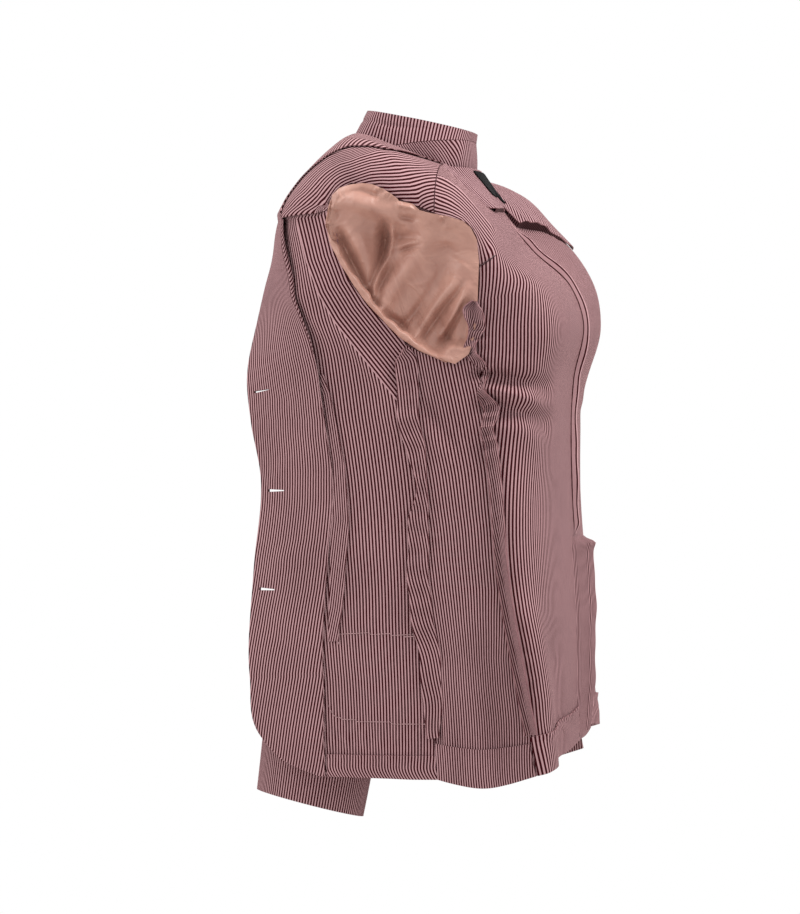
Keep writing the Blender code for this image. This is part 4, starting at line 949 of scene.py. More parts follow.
def seamRibbon(panel, downs, reach, lifts, clear, sway):
    # reach: widths (toward +y, toward -y); lifts: free edge heights; sway: sideways drift of the seam, per row
    root = panel.at(downs, 1.0)
    normal = panel.normal(downs, 1.0)
    along = unit(np.gradient(panel.base(downs, 1.0), axis=0))
    lean = unit(np.cross(along, normal))
    lean *= np.sign(lean[:, 1:2])
    marks = [(-1.0, 1.0), (-0.8, 0.72), (-0.55, 0.42), (-0.3, 0.16), (-0.1, 0.0), (0.1, 0.0), (0.3, 0.16),
             (0.55, 0.42), (0.8, 0.72), (1.0, 1.0)]
    columns = []
    for mark, rise in marks:
        wide = reach[0] if mark > 0 else reach[1]
        high = lifts[0] if mark > 0 else lifts[1]
        columns.append(root + normal * (trimOut + clear + rise * high)[:, None]
                       + lean * (sway + mark * wide)[:, None])
    return np.array(columns).transpose(1, 0, 2)


def buildAllowances(name, half, sign):
    for kind in ("front", "back"):
        plan = allowance[kind]
        panel = half[kind]
        low = half[kind + "Low"]
        end = float(panel.downAtHeight(panel.base(panel.length, 1.0)[2] + hems["depth"] + 4.0, 1.0))
        downs = rowsDown(low[0] + plan["start"], end, 2.2)
        s = downs - downs[0]
        narrow = smooth((s + 6.0) / 20.0) * (1.0 - plan["taper"] * smooth((s - s[-1] + 40.0) / 40.0))
        wave = np.sin(s / 19.0 + 0.6) + 0.6 * np.sin(s / 8.3) + 0.4 * np.sin(s / 41.0 + 2.0)
        if kind == "front":
            tight = np.exp(-((s - 128.0) / 26.0) ** 2)
            reach = (plan["left"] * (1.0 + 0.12 * wave) * (1.0 - 0.55 * tight) * narrow,
                     plan["right"] * (1.0 - 0.10 * wave) * (1.0 - 0.55 * tight) * narrow)
            lifts = (2.2 + 1.0 * wave + 2.0 * np.exp(-(s / 60.0) ** 2), 2.0 - 0.8 * wave)
            sway = 2.5 * np.sin(s / 60.0) * (1.0 - tight)
        else:
            top = 1.0 - smooth((s - 110.0) / 70.0)
            reach = (plan["left"] * (0.8 + 0.3 * wave * top) * narrow,
                     plan["right"] * (0.75 + 0.25 * wave * top) * narrow)
            lifts = (3.0 + 2.4 * wave * top,
                     4.2 + 3.4 * np.sin(s / 7.5) * top + 9.0 * smooth((s - 220.0) / 90.0))
            sway = 4.0 * np.sin(s / 7.5 + 0.5) * top + 2.0 * np.sin(s / 21.0) * top
        lifts = tuple(np.maximum(lift, 0.5) for lift in lifts)
        grid = seamRibbon(panel, downs, reach, lifts, plan["clear"], sway)
        width = runAlong(grid, 1)
        slant = 0.16 * s if kind == "front" else 0.1 * s + 4.0 * np.sin(s / 7.5) * top
        weave = np.stack([plan["grain"] * width + slant[:, None], s[:, None] * np.ones(width.shape[1])],
                         axis=-1)
        piece = makeCloth("allowance" + kind.capitalize() + name, flipped(grid, sign), weave, cloth["trimWall"],
                          stripes, flipped(panel.normal(panel.length * 0.6, 0.99), sign))
        dress(piece, [f"allowance_{kind}_{name.lower()}"])


for name, half, sign in halves:
    buildAllowances(name, half, sign)
print("seam allowances pressed")


# Centre back: allowance strip, vent extension, neck facing with its free edge, and a blank label.
centre = {"allowanceTop": -62.0, "ventTop": -389.0, "ventProud": 16.0, "ventShort": 12.0, "flat": (22, 360),
          "ventFlat": (36, 190),
          "welt": [(-8.6, -1.2, 0.50), (-8.2, 0.0, 0.60), (-8.0, 0.9, 0.98), (-7.7, 1.8, 1.12),
                   (-7.4, 3.0, 1.25), (-7.1, 4.2, 1.38), (-6.8, 5.0, 1.52), (-6.3, 5.7, 1.80),
                   (-5.2, 6.1, 2.02), (0.0, 6.3, 2.25), (5.0, 5.8, 2.30), (7.4, 3.0, 2.30),
                   (8.6, -1.2, 2.30)]}  # beside, out, place in the stripe
neckFacing = {"depth": 59.0, "left": (30.0, 18.0), "lift": (3.2, 8.0), "reach": 0.50, "flat": (240, 115),
              "area": 18000, "turnRows": 7, "turnColumns": 60, "labelFlat": (45, 25)}


def neckFacingPoints(across, part, out=0.0, lifted=1.0):
    reach = np.abs(across)
    leftSide = across > 0.0
    longer = neckFacing["left"][0] * smooth(reach / 0.1) + neckFacing["left"][1] * smooth((reach - 0.5) / 0.45)
    depth = np.where(leftSide, neckFacing["depth"] + longer, neckFacing["depth"] * (1.0 - reach ** 14)) + 3.0
    farLift = neckFacing["lift"][1] * smooth(reach / 0.2) * (1.0 - 0.97 * smooth((reach - 0.4) / 0.32))
    nearLift = neckFacing["lift"][0] * smooth(reach / 0.35) * (1.0 - smooth((reach - 0.75) / 0.25))
    lift = np.where(leftSide, farLift, nearLift) * part ** 1.6 * lifted
    points = []
    for half in (right, left):
        if half is right:
            flush = (trimOut + 0.8 + lift + 0.9) * smooth((reach - 0.76) / 0.16)
        else:
            flush = -8.0 * np.exp(-((part - 0.42) / 0.24) ** 2) * smooth((reach - 0.35) / 0.35)
        points.append(half["back"].at(0.8 + depth * part, neckFacing["reach"] * reach,
                                      trimOut + 0.8 + lift + out - flush))
    mirror = points[1] * np.array([-1.0, 1.0, 1.0])
    return np.where(leftSide[..., None], mirror, points[0])


def neckRipple(across, part):  # the free edge waves
    wave = 0.9 * np.sin(across * 37.0) * part ** 2 * smooth((across + 0.6) / 0.3)
    return np.array([0.0, -0.5, 0.5]) * wave[..., None]


def buildCentre():
    back = right["back"]
    start = float(back.downAtHeight(centre["allowanceTop"], 0.0))
    end = float(back.downAtHeight(centre["ventTop"], 0.0))
    downs = rowsDown(start, end - 2.0, 3.0)
    beside, rise, tone = np.array(centre["welt"]).T
    high = smooth((downs - start - 4.0) / 24.0) * smooth((end - downs) / 14.0)
    high = high * (0.95 + 0.1 * np.sin(downs / 17.0) + 0.07 * np.sin(downs / 7.0))
    normal = unit(back.normal(downs, 0.0) * np.array([0.0, 1.0, 1.0]))
    grid = back.at(downs, 0.0)[:, None, :] + normal[:, None, :] * (high[:, None] * rise + 0.1)[..., None]
    grid[..., 0] = beside[None, :] * (1.0 + 0.1 * np.sin(downs / 23.0))[:, None]
    weave = np.stack([cloth["stripe"] * tone * np.ones((len(downs), 1)), downs[:, None] * np.ones(len(tone))],
                     axis=-1)
    piece = makeCloth("allowanceCentre", grid, weave, cloth["trimWall"], stripes, (0.0, -1.0, 0.1))
    dress(piece, ["allowance_centre"])

    downs = rowsDown(end, back.length - 0.5, 3.0)
    part = np.linspace(0.0, 1.0, 25)
    proud = np.linspace(centre["ventProud"], centre["ventProud"] * 0.6, len(downs))
    proud = proud + 0.8 * np.sin(downs / 15.0) + 0.4 * np.sin(downs / 6.5)
    turned = 1.8 * (1.0 - smooth((part - 0.2) / 0.06))
    corner = 0.3 + 0.7 * smooth((downs - end) / 9.0) + 0.12 * np.exp(-((downs - end - 9.0) / 5.0) ** 2)
    flush = (trimOut + 1.0) * smooth((part - 0.72) / 0.2)
    lift = trimOut + 0.2 + (proud * corner)[:, None] * (1.0 - part) ** 1.4 + turned[None, :] - flush[None, :]
    shorter = centre["ventShort"] * np.linspace(0.0, 1.0, len(downs))[:, None] * (1.0 - part)
    grid = back.at(downs[:, None] - shorter, 0.003 + 0.16 * part[None, :], lift, fine=0.0)
    weave = stripeMap(grid, np.tile(part, (len(downs), 1)), np.zeros(len(downs)))
    weave[..., 0] *= 1.7
    piece = makeCloth("ventStrip", grid, weave, cloth["trimWall"], stripes, (0.0, -1.0, 0.0))
    dress(piece, ["vent"])

    across, part = np.meshgrid(np.linspace(-0.97, 0.97, 121), np.linspace(0.0, 1.0, 24))
    grid = neckFacingPoints(across, part) + neckRipple(across, part)
    run = runAlong(grid, 1)
    weave = np.stack([run - run[:, 60:61], part * 60.0], axis=-1)
    facing = makeCloth("neckFacing", grid, weave, cloth["trimWall"], stripesPale, (0.0, -0.8, 0.6))
    turned = []
    # the turned-under strips below the free edge use the darkened stripe copy: painted shade in the hollow under
    # the flap
    for side, low, high in (("Near", -0.74, -0.03), ("Far", 0.05, 0.72)):
        across, part = np.meshgrid(np.linspace(low, high, neckFacing["turnColumns"]),
                                   np.ones(neckFacing["turnRows"]))
        edge = neckFacingPoints(across, part, -0.6) + neckRipple(across, part)
        under = neckFacingPoints(across, part * 1.02, -trimOut - 1.0, 0.0)
        share = np.linspace(0.0, 1.0, len(edge))[:, None, None]
        grid = edge * (1.0 - share) + under * share
        run = np.tile(runAlong(edge[:1], 1) * 1.3, (len(edge), 1))
        weave = np.stack([run, share[..., 0] * np.full(run.shape, 6.0)], axis=-1)
        turned.append(makeCloth("neckFacingTurn" + side, grid, weave, 0.5, stripesPaintedShade, (-0.3, -0.8, -0.5)))
    bpy.ops.object.select_all(action="DESELECT")
    for piece in turned + [facing]:
        piece.select_set(True)
    bpy.context.view_layer.objects.active = facing
    bpy.ops.object.join()
    dress(facing, ["neck_facing"])

    spans = np.linspace(-0.97, 0.97, 19)
    across, part = np.meshgrid(np.linspace(spans[6], spans[10], 24), np.linspace(0.08, 0.70, 16))
    grid = neckFacingPoints(across, part, cloth["layerGap"] + cloth["labelWall"])
    weave = np.stack([across * 100.0, part * 40.0], axis=-1)
    piece = makeCloth("neckLabel", grid, weave, cloth["labelWall"], tape, (0.0, -0.8, 0.6))
    dress(piece, ["neck_label"])


buildCentre()
print("centre seam, vent, neck facing and label done")


# Collar: stand round the neck and the leaf turned up above it.
collar = {"reach": 149.0, "grain": 0.97, "standShare": 24 / 36, "standColumns": 161, "leafColumns": 241,
          "tucked": 2.4, "flatStand": (300, 24), "areaStand": 6000, "flatLeaf": (440, 36), "areaLeaf": 8000}


def seamHeight(y):
    return 22.0 - 4.0 * np.clip((y + 57.0) / 51.0, 0.0, 1.0) - 3.0 * np.clip((y + 6.0) / 23.0, 0.0, 1.0)


def leafTop(y):
    return 31.0 + 11.0 * np.clip((y + 58.0) / 50.0, 0.0, 1.0) + 12.0 * np.clip((y + 8.0) / 59.0, 0.0, 1.0)


def collarWeave(grid, slant):
    wide = np.linalg.norm(np.diff(grid[len(grid) // 2], axis=0), axis=1)
    run = np.concatenate([[0.0], np.cumsum(wide)])
    rise = grid[..., 2] - grid[:1, :, 2]
    return np.stack([collar["grain"] * (run[None, :] - run[len(run) // 2] + slant * rise), rise], axis=-1)


def buildCollar():
    standReach = collar["reach"] * collar["standShare"]
    parts = np.linspace(0.0, 1.0, 9)
    angles = np.linspace(-standReach, standReach, collar["standColumns"])
    grid = np.zeros((len(parts), len(angles), 3))
    for j, angle in enumerate(angles):
        for i, part in enumerate(parts):
            point = neckPoint(angle)
            top = max(seamHeight(point[1]) - cloth["seamGap"], point[2] + 1.4)
            point[2] = point[2] - collar["tucked"] + (top - point[2] + collar["tucked"]) * part
            swell = 0.9 * math.sin(math.pi * part) * math.sin(angle * 0.21) + 0.8 * math.sin(math.pi * part)
            point[:2] *= 1.0 - 0.02 * part + 0.008 * swell - 0.02 * (1.0 - part) ** 6
            grid[i, j] = point
    standLean = -0.1 - 0.9 * smooth((np.abs(angles) - 5.0) / 85.0)
    piece = makeCloth("collarStand", grid, collarWeave(grid, standLean), cloth["collarWall"], stripesPale,
                      (0.0, -1.0, 0.0))
    dress(piece, ["collar_stand"])

    parts = np.linspace(0.0, 1.0, 19)
    angles = np.linspace(-collar["reach"], collar["reach"], collar["leafColumns"])
    grid = np.zeros((len(parts), len(angles), 3))
    for j, angle in enumerate(angles):
        for i, part in enumerate(parts):
            point = neckPoint(angle)
            low = max(seamHeight(point[1]) + cloth["seamGap"], point[2] - 0.5)
            if abs(angle) < standReach + 6.0:
                low = max(low, point[2] + 1.4 + cloth["seamGap"])
            backward = smooth((abs(angle) - 85.0) / 60.0) * part
            crease = -0.012 * math.exp(-((part - 0.62) / 0.06) ** 2) * smooth((abs(angle) - 60.0) / 40.0)
            point[0] *= 0.98 - 0.12 * part + crease
            point[1] *= 0.98 + 0.03 * part - 0.24 * backward + crease
            point[2] = low + (leafTop(point[1]) - low) * part
            grid[i, j] = point
    piece = makeCloth("collarLeaf", grid, collarWeave(grid, 0.12), cloth["collarWall"], stripesPale,
                      (0.0, -1.0, 0.0))
    dress(piece, ["collar_leaf"])


buildCollar()
print("collar set")


# Sleeves hang inside the body, from the armhole to an open cuff below the hem.
sleeveRows = [(-150, -6, -252, 24, 70, 0), (-142, 34, -390, 23, 66, 6), (-130, 72, -530, 22, 60, 10),
              (-118, 96, -660, 21, 54, 13)]  # x, y, z, across, deep, tilt
sleeve = {"columns": 97, "turnIn": 46.0, "turnDown": 70.0, "leftRise": 44.0, "headRows": 30, "stripes": 118,
          "flat": (330, 590), "area": 170000}


def armholeEdges(half, out=0.0, fine=1.0):  # shoulder tip, rear, underarm, front
    front, side, back = half["front"], half["side"], half["back"]
    rearDowns = rowsDown(0.6, half["frontLow"][0], 4.0)
    frontDowns = rowsDown(0.6, half["backLow"][0], 4.0)[::-1]
    return [front.at(rearDowns, 1.0 - 0.5 / 200, out, fine=fine),
            side.at(np.zeros(40), np.linspace(0.99, 0.01, 40), out, fine=fine),
            back.at(frontDowns, 1.0 - 0.5 / 240, out, fine=fine)]


def sleeveRing(row, angles):
    x, y, z, across, deep, tilt = row
    return np.stack([x + across * np.cos(angles), y + deep * np.sin(angles), z + tilt * np.sin(angles)],
                    axis=1)


def buildSleeve(name, sign):  # both hang from the right armhole, one mirrored
    columns = sleeve["columns"]
    rim = np.concatenate(armholeEdges(right, -(cloth["shellWall"] + 2.0), fine=0.0))
    loop = resample(np.concatenate([rim, rim[:1]]), columns)
    angles = np.linspace(0.0, 2.0 * math.pi, columns)
    middle = loop[:-1].mean(axis=0)
    top = loop + unit((middle - loop) * np.array([0.0, 1.0, 1.0])) * cloth["rimGap"]
    first = sleeveRing(sleeveRows[0], angles)
    away = top + np.array([sleeve["turnIn"], 0.0, 0.0]) * (0.5 + 0.5 * np.cos(angles))[:, None]
    above = first + np.array([0.0, 0.0, sleeve["turnDown"]]) * (0.55 + 0.45 * np.cos(angles))[:, None]
    head = [top * (1 - t)**3 + away * 3 * t * (1 - t)**2 + above * 3 * t**2 * (1 - t) + first * t**3
            for t in np.linspace(0.0, 1.0, sleeve["headRows"])]
    tube = Loft([sleeveRing(row, angles) for row in sleeveRows])
    downs = rowsDown(0.0, tube.length, 4.0)[1:]
    lower = tube.base(downs[:, None], np.linspace(0.0, 1.0, columns)[None, :])
    grid = np.concatenate([np.array(head), lower])
    gone = np.concatenate([np.zeros(sleeve["headRows"]), downs / tube.length])
    # slack creases round the elbow, dying out at the cuff
    ring = angles[None, :]
    slack = smooth(gone / 0.15) * (1.0 - smooth((gone - 0.55) / 0.35))
    waves = np.sin(9.0 * 2 * math.pi * gone[:, None] + 1.3 * np.cos(ring)) * np.cos(ring - 0.6)
    spine = grid[:, :-1].mean(axis=1, keepdims=True)
    grid = grid + unit((grid - spine) * np.array([1.0, 1.0, 0.0])) * (2.0 * slack[:, None] * waves)[..., None]
    grid[:, -1] = grid[:, 0]
    if sign < 0:
        grid[:, :, 2] += sleeve["leftRise"] * gone[:, None]
    along = runAlong(grid, 0)
    across = angles / (2 * math.pi) * sleeve["stripes"] * cloth["stripe"]
    weave = np.stack([np.broadcast_to(across, along.shape), along], axis=-1)
    piece = makeCloth("sleeve" + name, flipped(grid, sign), weave, cloth["shellWall"], stripes,
                      (sign, 0.0, 0.0), closed=True)
    dress(piece, ["sleeve_" + name.lower()])


# Lining at the armhole: outline and folds in picture pixels, puffed over the armhole edge, rolled behind.
lining = {"columns": 130, "rows": 140, "flat": (170, 210), "area": 25000, "edgeFlat": (10, 215),
          "edgeColumns": 150, "edgeRows": 10, "edgeEnd": (447, 362), "middle": (405.0, 265.0), "foldShare": 1.35}
liningTop = [(329, 208), (332, 195), (339, 188), (350, 184.5), (362, 183), (372, 184), (381, 188),
             (391, 193.5), (399, 201), (405, 202), (413, 204), (419, 210), (430, 213), (450, 217),
             (463, 221), (471, 228)]
liningRight = [(471, 228), (477, 240), (479, 262), (478, 290), (477, 315), (474, 338), (469, 354)]
liningLeft = [(329, 208), (326, 224), (330, 242), (341, 264), (355, 286), (369, 305)]
liningLow = [(369, 305), (384, 321), (399, 336), (419, 350), (438, 359), (455, 364), (469, 354)]
liningFolds = [
    {"line": [(338, 202, 3, 8), (353, 203, 6, 9), (370, 208, 7, 9), (387, 214, 6, 8), (400, 220, 4, 8),
              (412, 229, 0, 8)],
     "lean": 0.2},
    {"line": [(344, 195, 0, 3), (352, 192, -2, 3), (362, 191, -2.5, 3), (373, 194, -2.5, 3),
              (384, 199, 0, 3)]},
    {"line": [(343, 214, 0, 9), (352, 232, 5, 10), (364, 254, 5, 10), (368, 276, 2, 8), (366, 292, 0, 6)]},
    {"line": [(384, 218, 0, 4), (385, 227, -9, 5), (386, 240, -15, 6), (384, 254, -12, 5),
              (378, 268, -8, 3.5), (372, 282, -6, 3), (369, 297, -3, 3)], "lean": -0.25},
    {"line": [(391, 220, 0, 3), (392, 233, 5, 3.5), (391, 247, 6, 3.5), (386, 260, 5, 3.5),
              (378, 272, 5, 3.5), (373, 286, 4, 3.5), (373, 304, 0, 4)]},
    {"line": [(398, 262, 0, 4), (388, 273, -5, 3.5), (380, 287, -5, 3.5), (377, 302, -2, 4)]},
    {"line": [(394, 250, 0, 3), (401, 246, 4, 3.5), (410, 243, 4, 3.5), (420, 241, 0, 4)]},
    {"line": [(398, 253, 0, 3), (406, 249, -4, 3), (416, 246, -3, 3), (424, 243, 0, 3)]},
    {"line": [(398, 226, 0, 6), (401, 236, -4, 5), (412, 237, -3, 5), (420, 232, 0, 5)]},
    {"line": [(436, 228, 0, 10), (420, 250, 7, 11), (407, 268, 9, 11), (395, 285, 8, 10), (385, 303, 5, 8),
              (379, 314, 0, 8)]},
    {"line": [(449, 250, 0, 8), (440, 275, -3, 6), (427, 296, -3, 5), (413, 315, -4, 4), (402, 328, -3, 4)]},
    {"line": [(464, 262, 0, 8), (453, 283, 5, 7), (440, 300, 6, 6), (427, 318, 6, 5),
              (416, 334, 3, 5)], "lean": 0.2},
    {"line": [(466, 278, 0, 3), (457, 293, -3, 3), (446, 305, -4, 3), (436, 319, -4, 3), (424, 337, -3, 3)]},
    {"line": [(470, 280, 0, 5), (462, 299, 6, 5), (451, 321, 7, 5), (443, 334, 4, 5)]},
    {"line": [(466, 296, 0, 2), (460, 312, -4, 2.5), (451, 328, -7, 3.5), (443, 344, -9, 5)]},
    {"line": [(337, 226, 0, 4), (341, 240, -9, 5), (349, 257, -12, 5), (358, 275, -11, 4.5),
              (367, 293, -8, 4), (374, 305, -6, 4)], "lean": 0.3},
    {"line": [(380, 312, 0, 5), (390, 320, -9, 6), (400, 325, -8, 6), (410, 334, 0, 5)]},
    {"line": [(396, 207, 0, 4), (402, 205, 4, 4), (410, 206, 4, 4), (418, 212, 0, 4)]},
    {"line": [(399, 212, 0, 3), (402, 217, -4, 3), (412, 219, -4, 3), (420, 217, 0, 3)]},
    {"line": [(430, 226, 0, 4), (440, 222, -2, 3.5), (452, 224, 0, 4)]},
    {"line": [(434, 230, 0, 4), (448, 231, -2, 3.5), (462, 232, 0, 4)]},
    {"line": [(438, 236, 0, 4), (452, 241, 1.8, 3.5), (466, 246, 0, 4)]},
    {"line": [(440, 244, 0, 4), (455, 253, -2, 3.5), (470, 262, 0, 4)]},
    {"line": [(452, 258, 0, 3), (462, 264, 2, 3), (472, 272, 0, 3)]},
    {"line": [(410, 286, 0, 3), (420, 284, 1.5, 2.5), (430, 280, 0, 3)]},
    {"line": [(448, 350, 0, 3), (455, 343, 3, 3), (462, 334, 0, 3)]},
    {"line": [(334, 222, 0, 3), (337, 214, -2, 3), (344, 206, 0, 3)]},
]


def rimDepth(half, spots):  # how far from the camera the shell lies round the armhole
    near = np.linspace(0.8, 1.0, 12)[None, :]
    front, side, back = half["front"], half["side"], half["back"]
    shell = [front.at(rowsDown(0.6, half["frontLow"][2], 4.0)[:, None], near, fine=0.0),
             back.at(rowsDown(0.6, half["backLow"][2], 4.0)[:, None], near, fine=0.0),
             side.at(np.linspace(0.0, 40.0, 12)[:, None], np.linspace(0.0, 1.0, 40)[None, :], fine=0.0)]
    points = np.concatenate([part.reshape(-1, 3) for part in shell])
    seen = seenAt(points)
    depth = (points - viewEye) @ viewAhead
    nearest = [np.argsort(np.hypot(*(seen - spot).T))[:4] for spot in spots]
    found = np.array([depth[few].min() for few in nearest])
    padded = np.concatenate([found[:1].repeat(4), found, found[-1:].repeat(4)])
    return np.convolve(padded, np.ones(9) / 9.0, mode="valid")


def blend(top, low, start, end):  # sheet between four edges
    t = np.linspace(0.0, 1.0, len(start))[:, None, None]
    s = np.linspace(0.0, 1.0, len(top))[None, :, None]
    return (top[None] * (1 - t) + low[None] * t + start[:, None] * (1 - s) + end[:, None] * s
            - (top[0] * (1 - s) + top[-1] * s) * (1 - t) - (low[0] * (1 - s) + low[-1] * s) * t)


def buildLining(name, half, sign, folds):
    columns, rows = lining["columns"], lining["rows"]
    edges = []
    for path, count in ((liningTop, columns), (liningLow, columns), (liningLeft, rows), (liningRight, rows)):
        spots = resample(path, count)
        edges.append(np.concatenate([spots, rimDepth(half, spots)[:, None]], axis=1))
    for a, i, b, j in ((0, 0, 2, 0), (0, -1, 3, 0), (1, 0, 2, -1), (1, -1, 3, -1)):  # shared corners
        edges[a][i] = edges[b][j] = (edges[a][i] + edges[b][j]) / 2
    sheet = blend(*edges)
    spots, depth = sheet[..., :2], sheet[..., 2]
    outline = np.concatenate([edges[0][:, :2], edges[3][:, :2], edges[1][::-1, :2], edges[2][::-1, :2]])[::3]
    inside, _, travel, _ = alongLine(spots, outline)
    behind = 1.0 - smooth((spots[..., 0] - 0.62 * spots[..., 1] - 215.0) / 26.0)
    lip = 2.4 + 1.6 * np.exp(-((inside - 3.0) / 2.5) ** 2) * behind  # rim over the shell's edge
    pillow = 1.0 - 0.75 * smooth((392.0 - spots[..., 0]) / 34.0) * smooth((290.0 - spots[..., 1]) / 50.0)
    under = smooth((spots[..., 0] - 434.0) / 14.0) * smooth((spots[..., 1] - 338.0) / 12.0)
    lip = lip + 3.2 * under
    sink = (9.0 * smooth((inside - 3.0) / 16.0) * (0.5 + 0.5 * behind) * pillow
            + 13.0 * smooth((inside - 12.0) / 30.0) * pillow
            + 12.0 * smooth((spots[..., 1] - 285.0) / 50.0) * smooth(inside / 10.0)) * (1.0 - 0.92 * under)
    puff = 12.0 * np.exp(-((spots[..., 0] - 350.0) / 28.0) ** 2 - ((spots[..., 1] - 204.0) / 19.0) ** 2)
    swell = 2.0 * np.exp(-((spots[..., 0] - 420.0) / 34.0) ** 2 - ((spots[..., 1] - 262.0) / 34.0) ** 2)
    folded = lining["foldShare"] * foldHeight(spots, folds) * smooth(inside / 5.0)
    ruckSize = 0.8 - 0.65 * smooth((spots[..., 0] - 442.0) / 22.0)  # gathers along the rim
    ripple = (np.sin(0.71 * travel + 0.2 * inside) + np.sin(0.43 * travel + 0.25 * inside)
              + 0.6 * np.sin(1.13 * travel))
    rucked = (ruckSize * ripple * (0.6 + 0.6 * np.sin(0.09 * travel + 1.0)) * np.exp(-(inside / 10.0) ** 2)
              * smooth(inside / 2.0))
    depth = depth - lip + sink - puff - swell - folded - rucked
    grid = fromPicture(spots, depth)
    weave = np.stack([runAlong(grid, 1), runAlong(grid, 0)], axis=-1)
    piece = makeCloth("lining" + name, flipped(grid, sign), weave, cloth["liningWall"], satin,
                      (-sign, 0.0, 0.0))
    dress(piece, ["lining_" + name.lower()])
    buildLiningEdge(name, half, sign)


def buildLiningEdge(name, half, sign):
    long, wide = lining["edgeColumns"], lining["edgeRows"]
    edge = resample(liningLeft[1:] + liningLow[1:-2] + [lining["edgeEnd"]], long)
    toward = np.stack([-np.gradient(edge[:, 1]), np.gradient(edge[:, 0])], axis=-1)
    toward = toward / np.hypot(*toward.T)[:, None]
    toward *= np.sign(((np.array(lining["middle"]) - edge) * toward).sum(axis=1))[:, None]
    count = np.arange(long)
    broad = 6.0 + 1.2 * np.sin(count * 0.13) + 0.7 * np.sin(count * 0.41)
    broad = broad * smooth(count / 25.0) * smooth((long - 1 - count) / 22.0)
    base = rimDepth(half, edge)
    ribbon = []
    for part in np.linspace(-0.12, 1.0, wide):
        spots = edge + toward * (broad * part)[:, None]
        rise = 2.9 + 3.4 * math.sin(math.pi * (part + 0.12) / 1.12) ** 0.7 - 2.0 * max(part - 0.7, 0.0) / 0.3
        wave = np.sin(count * 0.55) + 0.6 * np.sin(count * 0.23 + 1.0)
        rise = rise + 0.5 * wave * math.sin(math.pi * abs(part))
        ribbon.append(fromPicture(spots, base - rise))
    ribbon = np.array(ribbon).transpose(1, 0, 2)
    weave = np.stack(np.meshgrid(np.linspace(0.0, 10.0, wide), np.linspace(0.0, 240.0, long)), axis=-1)
    piece = makeCloth("liningEdge" + name, flipped(ribbon, sign), weave, cloth["liningWall"], satin,
                      (-sign, 0.0, 0.0))
    dress(piece, ["lining_edge_" + name.lower()])


for name, half, sign in halves:
    buildSleeve(name, sign)
    buildLining(name, half, sign, liningFolds if sign > 0 else varied(liningFolds))
print("sleeves and linings hung")


# Patch pockets on the face side of each front, and their sewing lines on this side.
pocket = {"top": -482.0, "bottom": -572.0, "low": 0.46, "high": 0.955, "seat": 0.6, "flat": (105, 90)}


def buildPocket(name, half, sign):
    front = half["front"]
    top = float(front.downAtHeight(pocket["top"], 0.7))
    bottom = float(front.downAtHeight(pocket["bottom"], 0.7))
    downs = rowsDown(top, bottom, 3.0)
    narrow = 0.07 * smooth((downs - bottom + 16.0) / 16.0) ** 2
    part = np.linspace(0.0, 1.0, 40)
    wide = pocket["high"] - pocket["low"] - 2.0 * narrow
    shares = (pocket["low"] + narrow)[:, None] + wide[:, None] * part
    grid = front.at(downs[:, None], shares, -(cloth["shellWall"] + pocket["seat"]))
    weave = stripeMap(grid, shares, shares[:, 0])
    normal = flipped(front.normal(float(downs[10]), 0.7), sign)
    piece = makeCloth("pocket" + name, flipped(grid, sign), weave, cloth["trimWall"], stripes, normal)
    dress(piece, ["pocket_" + name.lower()])


buttonPlan = {"radius": 10.0, "thick": 3.5, "rim": 2.2, "step": 1.0, "sunk": 0.9, "holeRadius": 0.9,
              "holeOff": 1.6, "holeLong": 12.0, "bevel": 0.5, "fromEdge": 19.0, "seats": (1.8, 0.2, 0.7)}


def buildButtons():
    front, out = left["front"], np.array([-1.0, 1.0, 1.0])
    bpy.ops.object.select_all(action="DESELECT")
    bpy.ops.mesh.primitive_cylinder_add(vertices=48, radius=buttonPlan["radius"] * mm,
                                        depth=buttonPlan["thick"] * mm, location=(0, 0, 0))
    model = bpy.context.object
    pickFaces(model, [face.normal.z < -0.9 for face in model.data.polygons])
    bpy.ops.mesh.inset(thickness=buttonPlan["rim"] * mm, depth=0)
    bpy.ops.mesh.inset(thickness=buttonPlan["step"] * mm, depth=-buttonPlan["sunk"] * mm)
    bpy.ops.object.mode_set(mode="OBJECT")
    off = buttonPlan["holeOff"]
    for x, y in ((off, off), (-off, off), (off, -off), (-off, -off)):
        bpy.ops.object.select_all(action="DESELECT")
        bpy.ops.mesh.primitive_cylinder_add(vertices=16, radius=buttonPlan["holeRadius"] * mm,
                                            depth=buttonPlan["holeLong"] * mm, location=(x * mm, y * mm, 0))
        cutter = bpy.context.object
        drill = model.modifiers.new("thread hole", "BOOLEAN")
        drill.object = cutter
        bpy.context.view_layer.objects.active = model
        bpy.ops.object.modifier_apply(modifier=drill.name)
        bpy.data.objects.remove(cutter)
    edge = model.modifiers.new("tumbled edge", "BEVEL")
    edge.width = buttonPlan["bevel"] * mm
    edge.segments = 3
    bpy.ops.object.modifier_apply(modifier=edge.name)
    model.data.materials.append(horn)
    for number, (z, seat) in enumerate(zip(frontPlan["slotHeights"], buttonPlan["seats"]), start=1):
        down = float(front.downAtHeight(z, 0.1))
        share = buttonPlan["fromEdge"] / front.width(down)
        under = cloth["shellWall"] + seat + buttonPlan["thick"] / 2
        middle = front.at(down, share, -under, fine=0.0) * out
        axis = Vector(front.normal(down, share) * out)
        button = model.copy()
        button.data = model.data.copy()
        button.name = f"button{number}"
        bpy.context.scene.collection.objects.link(button)
        turn = axis.to_track_quat("Z", "Y").to_matrix().to_4x4()
        button.data.transform(Matrix.Translation(Vector(middle) * mm) @ turn)
        finishMesh(button, 0)
        dress(button, [f"button_{number}"])
    bpy.data.objects.remove(model)


